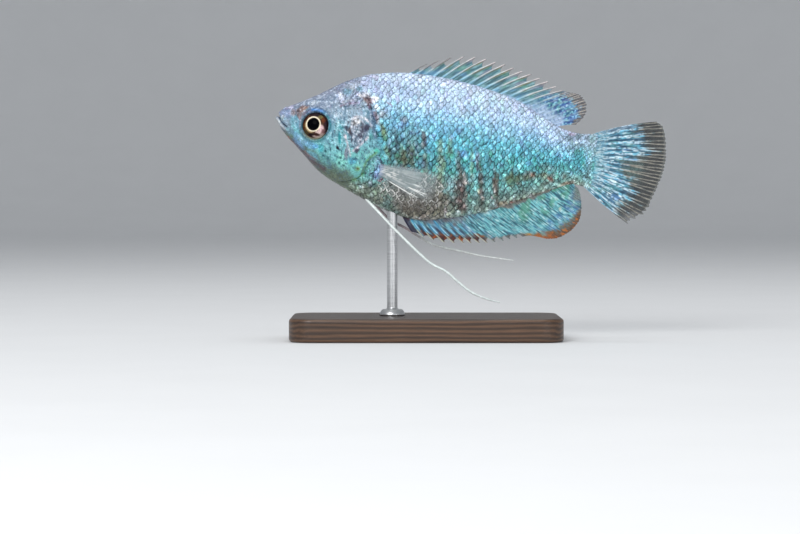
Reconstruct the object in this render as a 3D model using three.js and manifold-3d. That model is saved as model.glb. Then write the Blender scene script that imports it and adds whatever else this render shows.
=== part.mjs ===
// A dwarf gourami of the powder blue aquarium form, life size, held over a display base by one rod.
// Lengths are in millimetres. The fish is drawn in its own frame: the tip of the lower jaw is the origin,
// +X runs along the body to the tail, -Y is the left flank and +Z is the back. One group then tilts it
// nose up and lifts it over the base.
import * as THREE from "three";
import { mergeVertices } from "three/addons/utils/BufferGeometryUtils.js";
import Module from "manifold-3d";

const wasm = await Module();
wasm.setup();

// Driving dimensions
const BODY_LENGTH = 53.6; // lower jaw to the root of the tail fin
const NOSE_UP = THREE.MathUtils.degToRad(7);
const GAP = 0.3; // clear space between neighbouring pieces
const BODY_STATIONS = 44;
const STATION_CROWDING = 1.3; // above 1 the stations stand closer together towards the snout
const BODY_SIDES = 28;
const REAR_BULGE = 1.1; // how far the tail root rounds out between back and belly
const REAR_BULGE_ONSET = 12; // the higher, the closer to the tail the rounding starts

// The body seen from the side and from above: [place along the body, size there]
const BACK_LINE = [
  [0, 0.3], [0.85, 1.9], [2.1, 2.5], [6.3, 4.85], [10.5, 7.5], [14.8, 9.35], [21.7, 10.45],
  [30.7, 10.0], [39.5, 8.25], [44.2, 6.2], [48, 4.35], [51, 3.75], [BODY_LENGTH, 3.9],
];
const BELLY_LINE = [
  [0, -0.3], [1.3, -2.05], [5.4, -5.8], [7.9, -7.9], [10.7, -9.45], [16.6, -11.85], [21, -13.4],
  [24.7, -14.15], [28, -13.9], [36.5, -11.6], [42, -9.15], [47.1, -6.7], [51, -4.95], [BODY_LENGTH, -5.1],
];
const HALF_WIDTH = [
  [0, 0.35], [0.5, 0.95], [1.6, 1.6], [3.5, 2.45], [6.4, 3.45], [10, 4.2], [14.5, 4.75], [20, 4.9],
  [26, 4.6], [32, 3.95], [38, 3.1], [44, 2.3], [50, 1.4], [BODY_LENGTH, 0.55],
];
const WIDEST_LEVEL = [[0, 0], [3, -0.4], [6.4, -1], [12, -2], [20, -3], [28, -2.5], [38, -1.5], [48, -0.7]];
// 2 is an ellipse, less is a sharper ridge, more is fuller
const BACK_FULLNESS = [[0, 2], [12, 2], [22, 1.8], [48, 1.8], [BODY_LENGTH, 2]];
const BELLY_FULLNESS = [[0, 2], [8, 1.85], [18, 2.1], [25, 1.75], [46, 1.6], [BODY_LENGTH, 2]];

// Head
const MOUTH_FRONT = [0.36, 0.38];
const MOUTH_BEND = [1.5, -1.3];
const MOUTH_CORNER = [2.6, -2.5];
const JAW_HINGE = [4.9, -5.9];
const UPPER_LIP = { shift: [0.36, 0.34], radius: 0.46 }; // how far its middle lies from the mouth's line
const LOWER_LIP = { shift: [-0.2, -0.26], radius: 0.36 };
const EYE_CENTRE = [6.45, -0.32];
const EYE_RADIUS = 2.25;
const EYE_DEPTH = 1.2; // half the eye's thickness
const EYE_SUNK = 0.5; // how far its middle lies under the skin
const PUPIL = { radius: 1, raised: 0.12, forward: 0.12, up: 0.14 };
const ORBIT_RIM = 0.24;
const NOSTRILS = [[2.5, 1.3, 0.2], [3.45, 1.75, 0.2]]; // along, up, radius
const NOSTRIL_RIM = 0.1;
const NOSTRIL_DEPTH = 0.5;
const CHEEK_LINE = [[2.9, -2.9], [4, -4], [5.5, -5.25], [7.6, -6.35], [10, -7.2], [11.6, -7.6]];
const CHEEK_GROOVE = 0.16; // radius of the groove's round bottom
const GILL_REAR = [
  [13.6, 6.3], [15, 5.2], [16.2, 2], [17.2, -0.9], [18.2, -3.4], [16.5, -5.8], [15.2, -8.1], [13.2, -9],
];
const GILL_FRONT = [[12, -8.6], [12.5, -5.4], [12.1, -1.7], [11.6, 2], [11.9, 4.6], [12.8, 6.1]];
const GILL_THICKNESS = 0.8;
const GILL_RAISED = 0.2;

// Cuts through the body, seen from the side. They run past the back and the belly.
const NAPE_CUT = [12.6, 14];
const THROAT_CUT = [12.2, -14];
const STALK_CUT = [[49, 9], [48.3, 0], [48.6, -9]];
const CUT_REACH = 20; // past the whole body, up, down and to each side

// Fins
const WEB_THICKNESS = 0.5;
const RAY_THICKNESS = 0.84;
const RAY_WIDTH = 0.44;
const ROOT_SUNK = 1.2;
const SPINE_WEB = [0.93, 0.8, 0.76]; // reach of the web behind a spine, midway and before the next one
const SOFT_WEB = 0.97; // reach of the web between soft rays
const EDGE_THINNING = 0.55; // share of the thickness lost from root to edge
// length and lean give a ray's own numbers by its place in its row; lean is in degrees up from straight back.
// wave is how far the edge bends out of the fin's plane.
const DORSAL_FIN = {
  spines: 15, softRays: 8, front: 21.7, lastSpine: 44.1, rear: 47.9, rows: 5, wave: 0.35,
  spineLength: [[0, 2.7], [1, 3.9], [2, 4.9], [4, 5.6], [9, 5.6], [14, 5.9]],
  spineLean: [[0, 40], [2, 48], [5, 49], [9, 46], [14, 48]],
  softLength: [[0, 6.2], [3, 6.9], [4, 6.8], [5, 6], [7, 2.8]],
  softLean: [[0, 48], [3, 42], [5, 28], [7, 3]],
};
const ANAL_FIN = {
  spines: 17, softRays: 14, front: 23.6, lastSpine: 38.5, rear: 51.2, rows: 4, wave: 0.5,
  spineLength: [[0, 1.5], [2, 3], [4, 3.8], [8, 4.9], [12, 5.5], [16, 6]],
  spineLean: [[0, -65], [2, -59], [4, -55], [8, -48], [16, -48]],
  softLength: [[0, 6.2], [4, 7.4], [7, 8.2], [8, 8.2], [10, 7.5], [11, 6.2], [13, 1.6]],
  softLean: [[0, -48], [4, -52], [7, -57], [10, -56], [13, -46]],
};
const TAIL_FIN = {
  rays: 16, rootTop: 3.5, rootBottom: -4.7, rootX: BODY_LENGTH - 0.9, rows: 7, wave: 1,
  // How far down the fin a ray stands, from 0 to 1, and where its tip is
  tipX: [[0, 64.2], [0.08, 65.5], [0.23, 66.3], [0.46, 66.4], [0.7, 65.2], [0.85, 64], [1, 61.2]],
  tipZ: [[0, 7.4], [0.08, 6.5], [0.23, 3.4], [0.46, -0.6], [0.7, -5], [0.85, -8.2], [1, -10.4]],
};
const PECTORAL_FIN = {
  rays: 10, rootTop: [18.7, -5.4], rootBottom: [18.9, -8], rows: 5, wave: 0.5,
  reach: [[0, 11.8], [2, 12.7], [5, 11.8], [9, 5.4]],
  lean: [[0, 1], [5, -19], [9, -46]],
  flare: { left: 24, right: 34 }, // degrees away from the flank
  thinner: 0.9, // share of the other fins' thickness
};
const FEELER = { rootRadius: 0.34, midRadius: 0.26, tipRadius: 0.14, sides: 8, steps: 30 };
const LEFT_FEELER = [
  [16.2, -0.8, -11], [17.1, -1, -12], [19.3, -1.6, -13.8], [22.3, -2.5, -16.3], [28.3, -3.6, -20.8],
  [31.6, -4, -22.2], [34, -4.2, -23.8], [36.4, -4.4, -25.2], [39.2, -4.6, -26], [41.4, -4.7, -26.3],
];
const RIGHT_FEELER = [
  [17, 0.8, -11.2], [18.4, 1, -12.4], [19.3, 1.4, -13.3], [21.3, 2.1, -14.8], [24.1, 2.6, -15.9],
  [27, 3, -17.3], [29.8, 3.2, -18.2], [33.4, 3.4, -18.6], [37.5, 3.5, -19], [43, 3.5, -19.1],
];

// Stand
const BASE = { length: 46, width: 27, height: 4, corner: 4, chamfer: 0.6 };
const ROD = { radius: 0.9, along: 21.4, collarTop: 1.9, collarRadius: 2.2, collarHeight: 1.1, sides: 20 };
const FEELER_CLEARANCE = 2.4; // from the lowest feeler tip to the base
const BALANCE_POINT = 25.5; // the place along the body that stands over the middle of the base

// Curves
// A smooth function through [x, value] pairs, which keeps its end values outside them.
function through(pairs) {
  const last = pairs.length - 1;
  const slope = pairs.map((_, i) => {
    const [before, after] = [pairs[Math.max(i - 1, 0)], pairs[Math.min(i + 1, last)]];
    return (after[1] - before[1]) / (after[0] - before[0]);
  });
  return (x) => {
    if (x <= pairs[0][0]) return pairs[0][1];
    if (x >= pairs[last][0]) return pairs[last][1];
    const i = pairs.findIndex((pair) => pair[0] > x) - 1;
    const width = pairs[i + 1][0] - pairs[i][0];
    const t = (x - pairs[i][0]) / width;
    const rise = t * t * (3 - 2 * t);
    const leave = t * (1 - t) * (1 - t) * width * slope[i];
    const arrive = t * t * (t - 1) * width * slope[i + 1];
    return pairs[i][1] + rise * (pairs[i + 1][1] - pairs[i][1]) + leave + arrive;
  };
}

const backAt = through(BACK_LINE);
const bellyAt = through(BELLY_LINE);
const halfWidthAt = through(HALF_WIDTH);
const levelAt = through(WIDEST_LEVEL);
const backFullnessAt = through(BACK_FULLNESS);
const bellyFullnessAt = through(BELLY_FULLNESS);

const mix = (a, b, t) => a.map((v, k) => v + (b[k] - v) * t);

// Points along a smooth line through flat points.
function smoothLine(points, count) {
  return new THREE.SplineCurve(points.map(([x, z]) => new THREE.Vector2(x, z)))
    .getPoints(count)
    .map((p) => [p.x, p.y]);
}

// A line moved sideways, to the right of the way it runs where the distance is positive.
function shifted(points, distance) {
  return points.map(([x, z], i) => {
    const a = points[Math.max(i - 1, 0)];
    const b = points[Math.min(i + 1, points.length - 1)];
    const length = Math.hypot(b[0] - a[0], b[1] - a[1]);
    return [x + (distance * (b[1] - a[1])) / length, z - (distance * (b[0] - a[0])) / length];
  });
}

// Solids
function solidOf(geometry) {
  const bare = geometry.index ? geometry.toNonIndexed() : geometry.clone();
  bare.deleteAttribute("normal");
  bare.deleteAttribute("uv");
  const merged = mergeVertices(bare, 1e-4);
  return new wasm.Manifold(new wasm.Mesh({
    numProp: 3,
    vertProperties: merged.attributes.position.array,
    triVerts: new Uint32Array(merged.index.array),
  }));
}

// The largest closed body of a solid, without the scraps that a cut leaves.
function largestOf(solid) {
  return solid.decompose().reduce((best, body) => (body.volume() > best.volume() ? body : best));
}

function geometryOf(solid) {
  const mesh = solid.getMesh();
  return new THREE.BufferGeometry()
    .setAttribute("position", new THREE.BufferAttribute(Float32Array.from(mesh.vertProperties), 3))
    .setIndex(new THREE.BufferAttribute(Uint32Array.from(mesh.triVerts), 1));
}

// A closed surface from rings of points, each end closed to its middle.
function ringSolid(rings) {
  const sides = rings[0].length;
  const middle = (ring) => ring.reduce((sum, p) => sum.map((v, k) => v + p[k] / sides), [0, 0, 0]);
  const points = [...rings.flat(), middle(rings[0]), middle(rings.at(-1))];
  const [first, last] = [points.length - 2, points.length - 1];
  const faces = [];
  for (let j = 0; j < sides; j++) {
    const k = (j + 1) % sides;
    faces.push([first, k, j], [last, (rings.length - 1) * sides + j, (rings.length - 1) * sides + k]);
    for (let i = 0; i < rings.length - 1; i++) {
      const [a, b, c, d] = [i * sides + j, i * sides + k, (i + 1) * sides + k, (i + 1) * sides + j];
      faces.push([a, b, c], [a, c, d]);
    }
  }
  return facetedSolid(points, faces);
}

function facetedSolid(points, faces) {
  const geometry = new THREE.BufferGeometry();
  geometry.setAttribute("position", new THREE.Float32BufferAttribute(points.flat(), 3));
  geometry.setIndex(faces.flat());
  const solid = solidOf(geometry);
  if (solid.volume() > 0) return solid;
  geometry.setIndex(faces.map(([a, b, c]) => [a, c, b]).flat());
  return solidOf(geometry);
}

// A shape drawn from the side, carried through the whole width of the fish.
function sideways(outline) {
  const shape = new THREE.Shape(outline.map(([x, z]) => new THREE.Vector2(x, z)));
  const geometry = new THREE.ExtrudeGeometry(shape, { depth: 2 * CUT_REACH, bevelEnabled: false });
  geometry.rotateX(Math.PI / 2).translate(0, CUT_REACH, 0);
  return solidOf(geometry);
}

function ellipsoid(radii, detail, place) {
  const geometry = new THREE.SphereGeometry(1, detail * 2, detail).scale(...radii);
  return solidOf(geometry.applyMatrix4(place));
}

// A round tube along points, with its radius given by how far along it is, from 0 to 1.
function taperedTube(points, radiusAt, sides, steps) {
  const path = new THREE.CatmullRomCurve3(points.map((p) => new THREE.Vector3(...p)), false, "centripetal");
  const frames = path.computeFrenetFrames(steps, false);
  const rings = [];
  for (let i = 0; i <= steps; i++) {
    const centre = path.getPointAt(i / steps);
    const radius = radiusAt(i / steps);
    rings.push(Array.from({ length: sides }, (_, j) => {
      const turn = (2 * Math.PI * j) / sides;
      return centre.clone()
        .addScaledVector(frames.normals[i], radius * Math.cos(turn))
        .addScaledVector(frames.binormals[i], radius * Math.sin(turn))
        .toArray();
    }));
  }
  return ringSolid(rings);
}

// Body
// A point of the skin: how far along from 0 to 1, and the turn round the body from the left flank.
function skinPoint(along, turn, grow) {
  const x = BODY_LENGTH * along ** STATION_CROWDING;
  const level = levelAt(x);
  const up = Math.sin(turn);
  const out = Math.cos(turn);
  const fullness = 2 / (up > 0 ? backFullnessAt(x) : bellyFullnessAt(x));
  const height = (up > 0 ? backAt(x) - level : level - bellyAt(x)) + grow;
  const width = halfWidthAt(x) + grow;
  const ends = grow * (along === 1 ? 1 : 0) - grow * (along === 0 ? 1 : 0);
  return [
    x + ends + REAR_BULGE * along ** REAR_BULGE_ONSET * out * out,
    -Math.sign(out) * width * Math.abs(out) ** fullness,
    level + Math.sign(up) * height * Math.abs(up) ** fullness,
  ];
}

function bodySolid(grow) {
  const turns = Array.from({ length: BODY_SIDES }, (_, j) => (2 * Math.PI * j) / BODY_SIDES);
  const stations = Array.from({ length: BODY_STATIONS + 1 }, (_, i) => i / BODY_STATIONS);
  return ringSolid(stations.map((along) => turns.map((turn) => skinPoint(along, turn, grow))));
}

// How far the skin stands from the middle plane at a place seen from the side.
function flankAt(x, z) {
  const level = levelAt(x);
  const above = z > level;
  const height = above ? backAt(x) - level : level - bellyAt(x);
  const share = Math.min(Math.abs(z - level) / height, 1);
  const fullness = above ? backFullnessAt(x) : bellyFullnessAt(x);
  return halfWidthAt(x) * (1 - share ** fullness) ** (1 / fullness);
}

// A place on the skin with +Z pointing out of it, for what is set on a flank. side is -1 on the left.
function onFlank(x, z, side, sunk) {
  const step = 0.4;
  const slopeX = (flankAt(x + step, z) - flankAt(x - step, z)) / (2 * step);
  const slopeZ = (flankAt(x, z + step) - flankAt(x, z - step)) / (2 * step);
  const out = new THREE.Vector3(-slopeX, side, -slopeZ).normalize();
  const place = new THREE.Vector3(x, side * flankAt(x, z), z).addScaledVector(out, -sunk);
  const turn = new THREE.Quaternion().setFromUnitVectors(new THREE.Vector3(0, 0, 1), out);
  return new THREE.Matrix4().compose(place, turn, new THREE.Vector3(1, 1, 1));
}

const skin = bodySolid(0);
const clearOfSkin = bodySolid(GAP);

// Head
const gillRear = smoothLine(GILL_REAR, 20);
const gillFront = smoothLine(GILL_FRONT, 10);
const shoulder = [NAPE_CUT, ...gillRear, THROAT_CUT];

// The gill covers' outline, smaller where the distance is positive.
function gillOutline(inwards) {
  return [...shifted(gillRear, inwards), ...shifted(gillFront, inwards)];
}

function gillCover(side) {
  const shell = bodySolid(GILL_RAISED).subtract(bodySolid(-GILL_THICKNESS));
  const plates = sideways(gillOutline(GAP / 2)).intersect(shell).decompose();
  const onSide = plates.filter((plate) => {
    const { min, max } = plate.boundingBox();
    return side * (min[1] + max[1]) > 0;
  });
  return onSide.reduce((best, body) => (body.volume() > best.volume() ? body : best));
}

// The cleft of the mouth and the line from its corner down to the chin
const mouthLine = [[-0.9, 2.2], MOUTH_FRONT, MOUTH_BEND, MOUTH_CORNER, JAW_HINGE, [5.6, -8]];

function jawRegion(lower) {
  return [[-4, 2.2], ...shifted(mouthLine, lower), [-4, -8]];
}

// A lip follows the mouth round the snout from corner to corner.
function lip({ shift, radius }) {
  const path = Array.from({ length: 13 }, (_, i) => {
    const turn = (Math.PI / 2) * (i / 6 - 1);
    const [x, z] = mix(MOUTH_FRONT, MOUTH_CORNER, 1 - Math.cos(turn));
    const width = Math.max(flankAt(x, z), flankAt(x + shift[0], z + shift[1]));
    return [x + shift[0], width * Math.sin(turn), z + shift[1]];
  });
  return taperedTube(path, (t) => radius * (0.35 + 0.65 * Math.sin(Math.PI * t) ** 0.4), 8, 16);
}

// The groove under the cheek, where the head's side plates end over the throat
function cheekGroove(side) {
  const path = CHEEK_LINE.map(([x, z]) => [x, side * flankAt(x, z), z]);
  return taperedTube(path, (t) => CHEEK_GROOVE * Math.sin(Math.PI * (0.1 + 0.8 * t)), 5, 10);
}

// The pupil is a low dome on the eyeball, a little forward of its middle.
function eyeball(side) {
  const ball = ellipsoid([EYE_RADIUS, EYE_RADIUS, EYE_DEPTH], 9, onFlank(...EYE_CENTRE, side, EYE_SUNK));
  const [x, z] = [EYE_CENTRE[0] - PUPIL.forward, EYE_CENTRE[1] + PUPIL.up];
  const surface = onFlank(x, z, side, EYE_SUNK - EYE_DEPTH + PUPIL.raised);
  return ball.add(ellipsoid([PUPIL.radius, PUPIL.radius, 2 * PUPIL.raised], 6, surface));
}

function eyeSocket(side) {
  const grown = EYE_RADIUS + GAP;
  return ellipsoid([grown, grown, EYE_DEPTH + GAP], 9, onFlank(...EYE_CENTRE, side, EYE_SUNK));
}

function orbitRim(side) {
  const ring = new THREE.TorusGeometry(EYE_RADIUS + GAP, ORBIT_RIM, 5, 22);
  return solidOf(ring.applyMatrix4(onFlank(...EYE_CENTRE, side, 0)));
}

function nostril([x, z, radius], side) {
  const place = onFlank(x, z, side, 0);
  const rim = new THREE.TorusGeometry(radius + NOSTRIL_RIM, NOSTRIL_RIM, 4, 8).applyMatrix4(place);
  const pit = new THREE.CylinderGeometry(radius, radius * 0.7, 2 * NOSTRIL_DEPTH, 8)
    .rotateX(Math.PI / 2).applyMatrix4(place);
  return { rim: solidOf(rim), pit: solidOf(pit) };
}

function wholeHead() {
  const front = [[-4, 14], ...shifted(shoulder, GAP / 2), [-4, -14]];
  let head = skin.intersect(sideways(front)).add(lip(UPPER_LIP)).add(lip(LOWER_LIP));
  for (const side of [-1, 1]) {
    const holes = NOSTRILS.map((one) => nostril(one, side));
    head = head.add(orbitRim(side));
    for (const { rim } of holes) head = head.add(rim);
    for (const { pit } of holes) head = head.subtract(pit);
    head = head.subtract(eyeSocket(side)).subtract(cheekGroove(side));
  }
  const pocket = sideways(gillOutline(-GAP / 2)).subtract(bodySolid(-GILL_THICKNESS - GAP));
  return head.subtract(pocket);
}

// Fins
// A ray runs from its root, sunk in the body, to its tip, both in the plane of the fin.
function raysOfEdge(fin, edgeAt, side) {
  const count = fin.spines + fin.softRays;
  const [spineLength, spineLean] = [through(fin.spineLength), through(fin.spineLean)];
  const [softLength, softLean] = [through(fin.softLength), through(fin.softLean)];
  return Array.from({ length: count }, (_, i) => {
    const spine = i < fin.spines;
    const k = i - fin.spines;
    const x = spine
      ? fin.front + ((fin.lastSpine - fin.front) * i) / (fin.spines - 1)
      : fin.lastSpine + ((fin.rear - fin.lastSpine) * (k + 1)) / fin.softRays;
    const length = spine ? spineLength(i) : softLength(k);
    const lean = THREE.MathUtils.degToRad(spine ? spineLean(i) : softLean(k));
    const out = [Math.cos(lean), Math.sin(lean)];
    const root = [x - out[0] * ROOT_SUNK, edgeAt(x) - side * Math.abs(out[1]) * ROOT_SUNK];
    return { root, tip: [x + out[0] * length, edgeAt(x) + out[1] * length], spine };
  });
}

// The lines of a fin from root to edge: a ridge on each ray and the web between it and the next.
// share is how far a line lies towards the next ray, reach how far out it runs.
function finLines(rays) {
  return rays.flatMap((ray, i) => {
    const next = rays[i + 1];
    const ridge = { from: ray, to: ray, share: 0, reach: 1, half: RAY_THICKNESS / 2, place: i };
    if (!next) return [ridge];
    const web = (share, reach) => (
      { from: ray, to: next, share, reach, half: WEB_THICKNESS / 2, place: i + share }
    );
    if (!ray.spine) return [ridge, web(0.5, SOFT_WEB)];
    const flank = Math.min(RAY_WIDTH / 2 / Math.abs(next.tip[0] - ray.tip[0]), 0.25);
    return [ridge, web(flank, SPINE_WEB[0]), web(0.5, SPINE_WEB[1]), web(1 - flank, SPINE_WEB[2])];
  });
}

// A fin as one closed sheet, whose two faces are split into triangles alike.
// at(line, out, face) places a point, with out from 0 at the root to 1 at the edge.
function finSheet(lines, rows, at) {
  const points = [];
  for (const face of [1, -1])
    for (const line of lines)
      for (let r = 0; r <= rows; r++) points.push(at(line, r / rows, face));
  const index = (face, c, r) => (face * lines.length + c) * (rows + 1) + r;
  const faces = [];
  const quad = (a, b, c, d) => faces.push([a, b, c], [a, c, d]);
  const last = lines.length - 1;
  for (let c = 0; c < last; c++) {
    for (let r = 0; r < rows; r++) {
      const cell = [[c, r], [c + 1, r], [c + 1, r + 1], [c, r + 1]];
      const [[a, b, d, e], [f, g, h, k]] = [0, 1].map((face) => cell.map((corner) => index(face, ...corner)));
      faces.push([a, b, d], [a, d, e], [f, h, g], [f, k, h]);
    }
    quad(index(0, c + 1, 0), index(0, c, 0), index(1, c, 0), index(1, c + 1, 0));
    quad(index(0, c, rows), index(0, c + 1, rows), index(1, c + 1, rows), index(1, c, rows));
  }
  for (let r = 0; r < rows; r++) {
    quad(index(0, 0, r), index(0, 0, r + 1), index(1, 0, r + 1), index(1, 0, r));
    quad(index(0, last, r + 1), index(0, last, r), index(1, last, r), index(1, last, r + 1));
  }
  return facetedSolid(points, faces);
}

// Fins and rays thin out towards the edge.
const thinned = (half, out) => half * (1 - EDGE_THINNING * out ** 3);

// A fin in the middle plane of the fish, bent sideways by sway(how far back, how far out), both 0 to 1.
function middleFin(rays, rows, sway) {
  const at = ({ from, to, share, reach, half, place }, out, face) => {
    const far = out * reach;
    const [x, z] = mix(mix(from.root, from.tip, far), mix(to.root, to.tip, far), share);
    return [x, sway(place / (rays.length - 1), far) + face * thinned(half, out), z];
  };
  return finSheet(finLines(rays), rows, at);
}

function dorsalFin() {
  const rays = raysOfEdge(DORSAL_FIN, backAt, 1);
  const sheet = middleFin(rays, DORSAL_FIN.rows, (back, out) => DORSAL_FIN.wave * out * Math.sin(5 * back));
  return largestOf(sheet.subtract(clearOfSkin));
}

function analFin() {
  const rays = raysOfEdge(ANAL_FIN, bellyAt, -1);
  const sheet = middleFin(rays, ANAL_FIN.rows, (back, out) => -ANAL_FIN.wave * out ** 2 * Math.sin(3 * back));
  return largestOf(sheet.subtract(clearOfSkin));
}

function tailFin() {
  const [tipX, tipZ] = [through(TAIL_FIN.tipX), through(TAIL_FIN.tipZ)];
  const rays = Array.from({ length: TAIL_FIN.rays }, (_, i) => {
    const share = i / (TAIL_FIN.rays - 1);
    const z = TAIL_FIN.rootTop + (TAIL_FIN.rootBottom - TAIL_FIN.rootTop) * share;
    return { root: [TAIL_FIN.rootX, z], tip: [tipX(share), tipZ(share)] };
  });
  const sheet = middleFin(rays, TAIL_FIN.rows, (down, out) => TAIL_FIN.wave * out ** 2 * (0.3 - down));
  return largestOf(sheet.subtract(clearOfSkin));
}

// The pectoral fins stand away from the flank, so their sheet turns outwards from the root.
function pectoralFin(side) {
  const { rays: count, rootTop, rootBottom } = PECTORAL_FIN;
  const [reachOf, leanOf] = [through(PECTORAL_FIN.reach), through(PECTORAL_FIN.lean)];
  const flare = THREE.MathUtils.degToRad(side < 0 ? PECTORAL_FIN.flare.left : PECTORAL_FIN.flare.right);
  const rays = Array.from({ length: count }, (_, i) => {
    const root = mix(rootTop, rootBottom, i / (count - 1));
    const lean = THREE.MathUtils.degToRad(leanOf(i));
    const tip = [root[0] + reachOf(i) * Math.cos(lean), root[1] + reachOf(i) * Math.sin(lean)];
    return { root, tip };
  });
  const at = ({ from, to, share, reach, half }, out, face) => {
    const root = mix(from.root, to.root, share);
    const tip = mix(from.tip, to.tip, share);
    const along = (tip[0] - root[0]) * reach * out - ROOT_SUNK * (1 - out);
    const bend = PECTORAL_FIN.wave * Math.sin(Math.PI * out);
    const thick = face * thinned(half, out) * PECTORAL_FIN.thinner;
    return [
      root[0] + along * Math.cos(flare) - thick * Math.sin(flare),
      side * (flankAt(...root) + along * Math.sin(flare) + bend + thick * Math.cos(flare)),
      root[1] + (tip[1] - root[1]) * reach * out,
    ];
  };
  return largestOf(finSheet(finLines(rays), PECTORAL_FIN.rows, at).subtract(clearOfSkin));
}

function feeler(points) {
  const { rootRadius, midRadius, tipRadius, sides, steps } = FEELER;
  const radiusAt = through([[0, rootRadius], [0.3, midRadius], [0.8, midRadius], [1, tipRadius]]);
  return largestOf(taperedTube(points, radiusAt, sides, steps).subtract(clearOfSkin));
}

// Placing the fish over the base
const lowestTip = Math.min(...[LEFT_FEELER, RIGHT_FEELER].map((points) => {
  const [x, , z] = points.at(-1);
  return z * Math.cos(NOSE_UP) - x * Math.sin(NOSE_UP);
}));
const fish = new THREE.Group();
fish.name = "fish";
fish.rotation.y = NOSE_UP;
fish.position.set(
  -BALANCE_POINT * Math.cos(NOSE_UP),
  0,
  BASE.height + FEELER_CLEARANCE - lowestTip,
);
fish.updateMatrixWorld();

// Stand
function standBase() {
  const { length, width, height, corner, chamfer } = BASE;
  const [x, y] = [length / 2 - chamfer, width / 2 - chamfer];
  const r = corner - chamfer;
  const shape = new THREE.Shape();
  shape.absarc(x - r, y - r, r, 0, Math.PI / 2);
  shape.absarc(r - x, y - r, r, Math.PI / 2, Math.PI);
  shape.absarc(r - x, r - y, r, Math.PI, 1.5 * Math.PI);
  shape.absarc(x - r, r - y, r, 1.5 * Math.PI, 2 * Math.PI);
  const geometry = new THREE.ExtrudeGeometry(shape, {
    depth: height - 2 * chamfer,
    bevelSize: chamfer,
    bevelThickness: chamfer,
    bevelSegments: 1,
    curveSegments: 5,
  });
  return solidOf(geometry.translate(0, 0, chamfer));
}

// The rod rises from a collar on the base and ends in the shape of the belly above it.
function standRod() {
  const foot = BASE.height + GAP;
  const belly = new THREE.Vector3(ROD.along, 0, bellyAt(ROD.along)).applyMatrix4(fish.matrixWorld);
  const height = belly.z + 2 * ROD.radius - foot;
  const rod = new THREE.CylinderGeometry(ROD.radius, ROD.radius, height, ROD.sides)
    .rotateX(Math.PI / 2).translate(belly.x, 0, foot + height / 2);
  const collar = new THREE.CylinderGeometry(ROD.collarTop, ROD.collarRadius, ROD.collarHeight, ROD.sides)
    .rotateX(Math.PI / 2).translate(belly.x, 0, foot + ROD.collarHeight / 2);
  const placedSkin = clearOfSkin.transform(fish.matrixWorld.elements);
  return largestOf(solidOf(rod).add(solidOf(collar)).subtract(placedSkin));
}

// Materials
function finish(color, roughness, metalness = 0) {
  return new THREE.MeshStandardMaterial({ color, roughness, metalness });
}

const scaledSkin = finish(0x8cc4d0, 0.38, 0.1);
const headSkin = finish(0x8fb4c4, 0.42, 0.1);
const gillSkin = finish(0x5fb8b4, 0.4, 0.1);
const jawSkin = finish(0xa9b3bd, 0.45);
const finWeb = finish(0x6fb4c0, 0.45);
const clearWeb = finish(0xc3ccd0, 0.4);
const feelerSkin = finish(0xe6f0ec, 0.45);
const eyeGloss = finish(0x1a1512, 0.12);
const walnut = finish(0x4a2f20, 0.5);
const steel = finish(0xb8bbbe, 0.3, 1);

const rootGroup = new THREE.Group();
rootGroup.name = "dwarf_gourami";
rootGroup.add(fish);

function addPiece(group, name, solid, material) {
  const mesh = new THREE.Mesh(geometryOf(solid), material);
  mesh.name = name;
  group.add(mesh);
}

const headAndJaw = wholeHead();
addPiece(fish, "head", largestOf(headAndJaw.subtract(sideways(jawRegion(-GAP / 2)))), headSkin);
addPiece(fish, "lower_jaw", largestOf(headAndJaw.intersect(sideways(jawRegion(GAP / 2)))), jawSkin);

const behindShoulder = [
  ...shifted(shoulder, -GAP / 2), [THROAT_CUT[0], -CUT_REACH], [STALK_CUT.at(-1)[0], -CUT_REACH],
  ...shifted([...STALK_CUT].reverse(), -GAP / 2),
];
addPiece(fish, "torso", largestOf(skin.intersect(sideways(behindShoulder))), scaledSkin);
const pastTail = BODY_LENGTH + CUT_REACH;
const behindStalkCut = [...shifted(STALK_CUT, -GAP / 2), [pastTail, -CUT_REACH], [pastTail, CUT_REACH]];
addPiece(fish, "tail_stalk", largestOf(skin.intersect(sideways(behindStalkCut))), scaledSkin);

for (const [name, side] of [["left", -1], ["right", 1]]) {
  addPiece(fish, `gill_cover_${name}`, gillCover(side), gillSkin);
  addPiece(fish, `eye_${name}`, eyeball(side), eyeGloss);
  addPiece(fish, `pectoral_fin_${name}`, pectoralFin(side), clearWeb);
}
addPiece(fish, "dorsal_fin", dorsalFin(), finWeb);
addPiece(fish, "anal_fin", analFin(), finWeb);
addPiece(fish, "tail_fin", tailFin(), finWeb);
addPiece(fish, "pelvic_feeler_left", feeler(LEFT_FEELER), feelerSkin);
addPiece(fish, "pelvic_feeler_right", feeler(RIGHT_FEELER), feelerSkin);

addPiece(rootGroup, "stand_base", standBase(), walnut);
addPiece(rootGroup, "stand_rod", standRod(), steel);

export default rootGroup;
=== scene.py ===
import functools
import math

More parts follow.
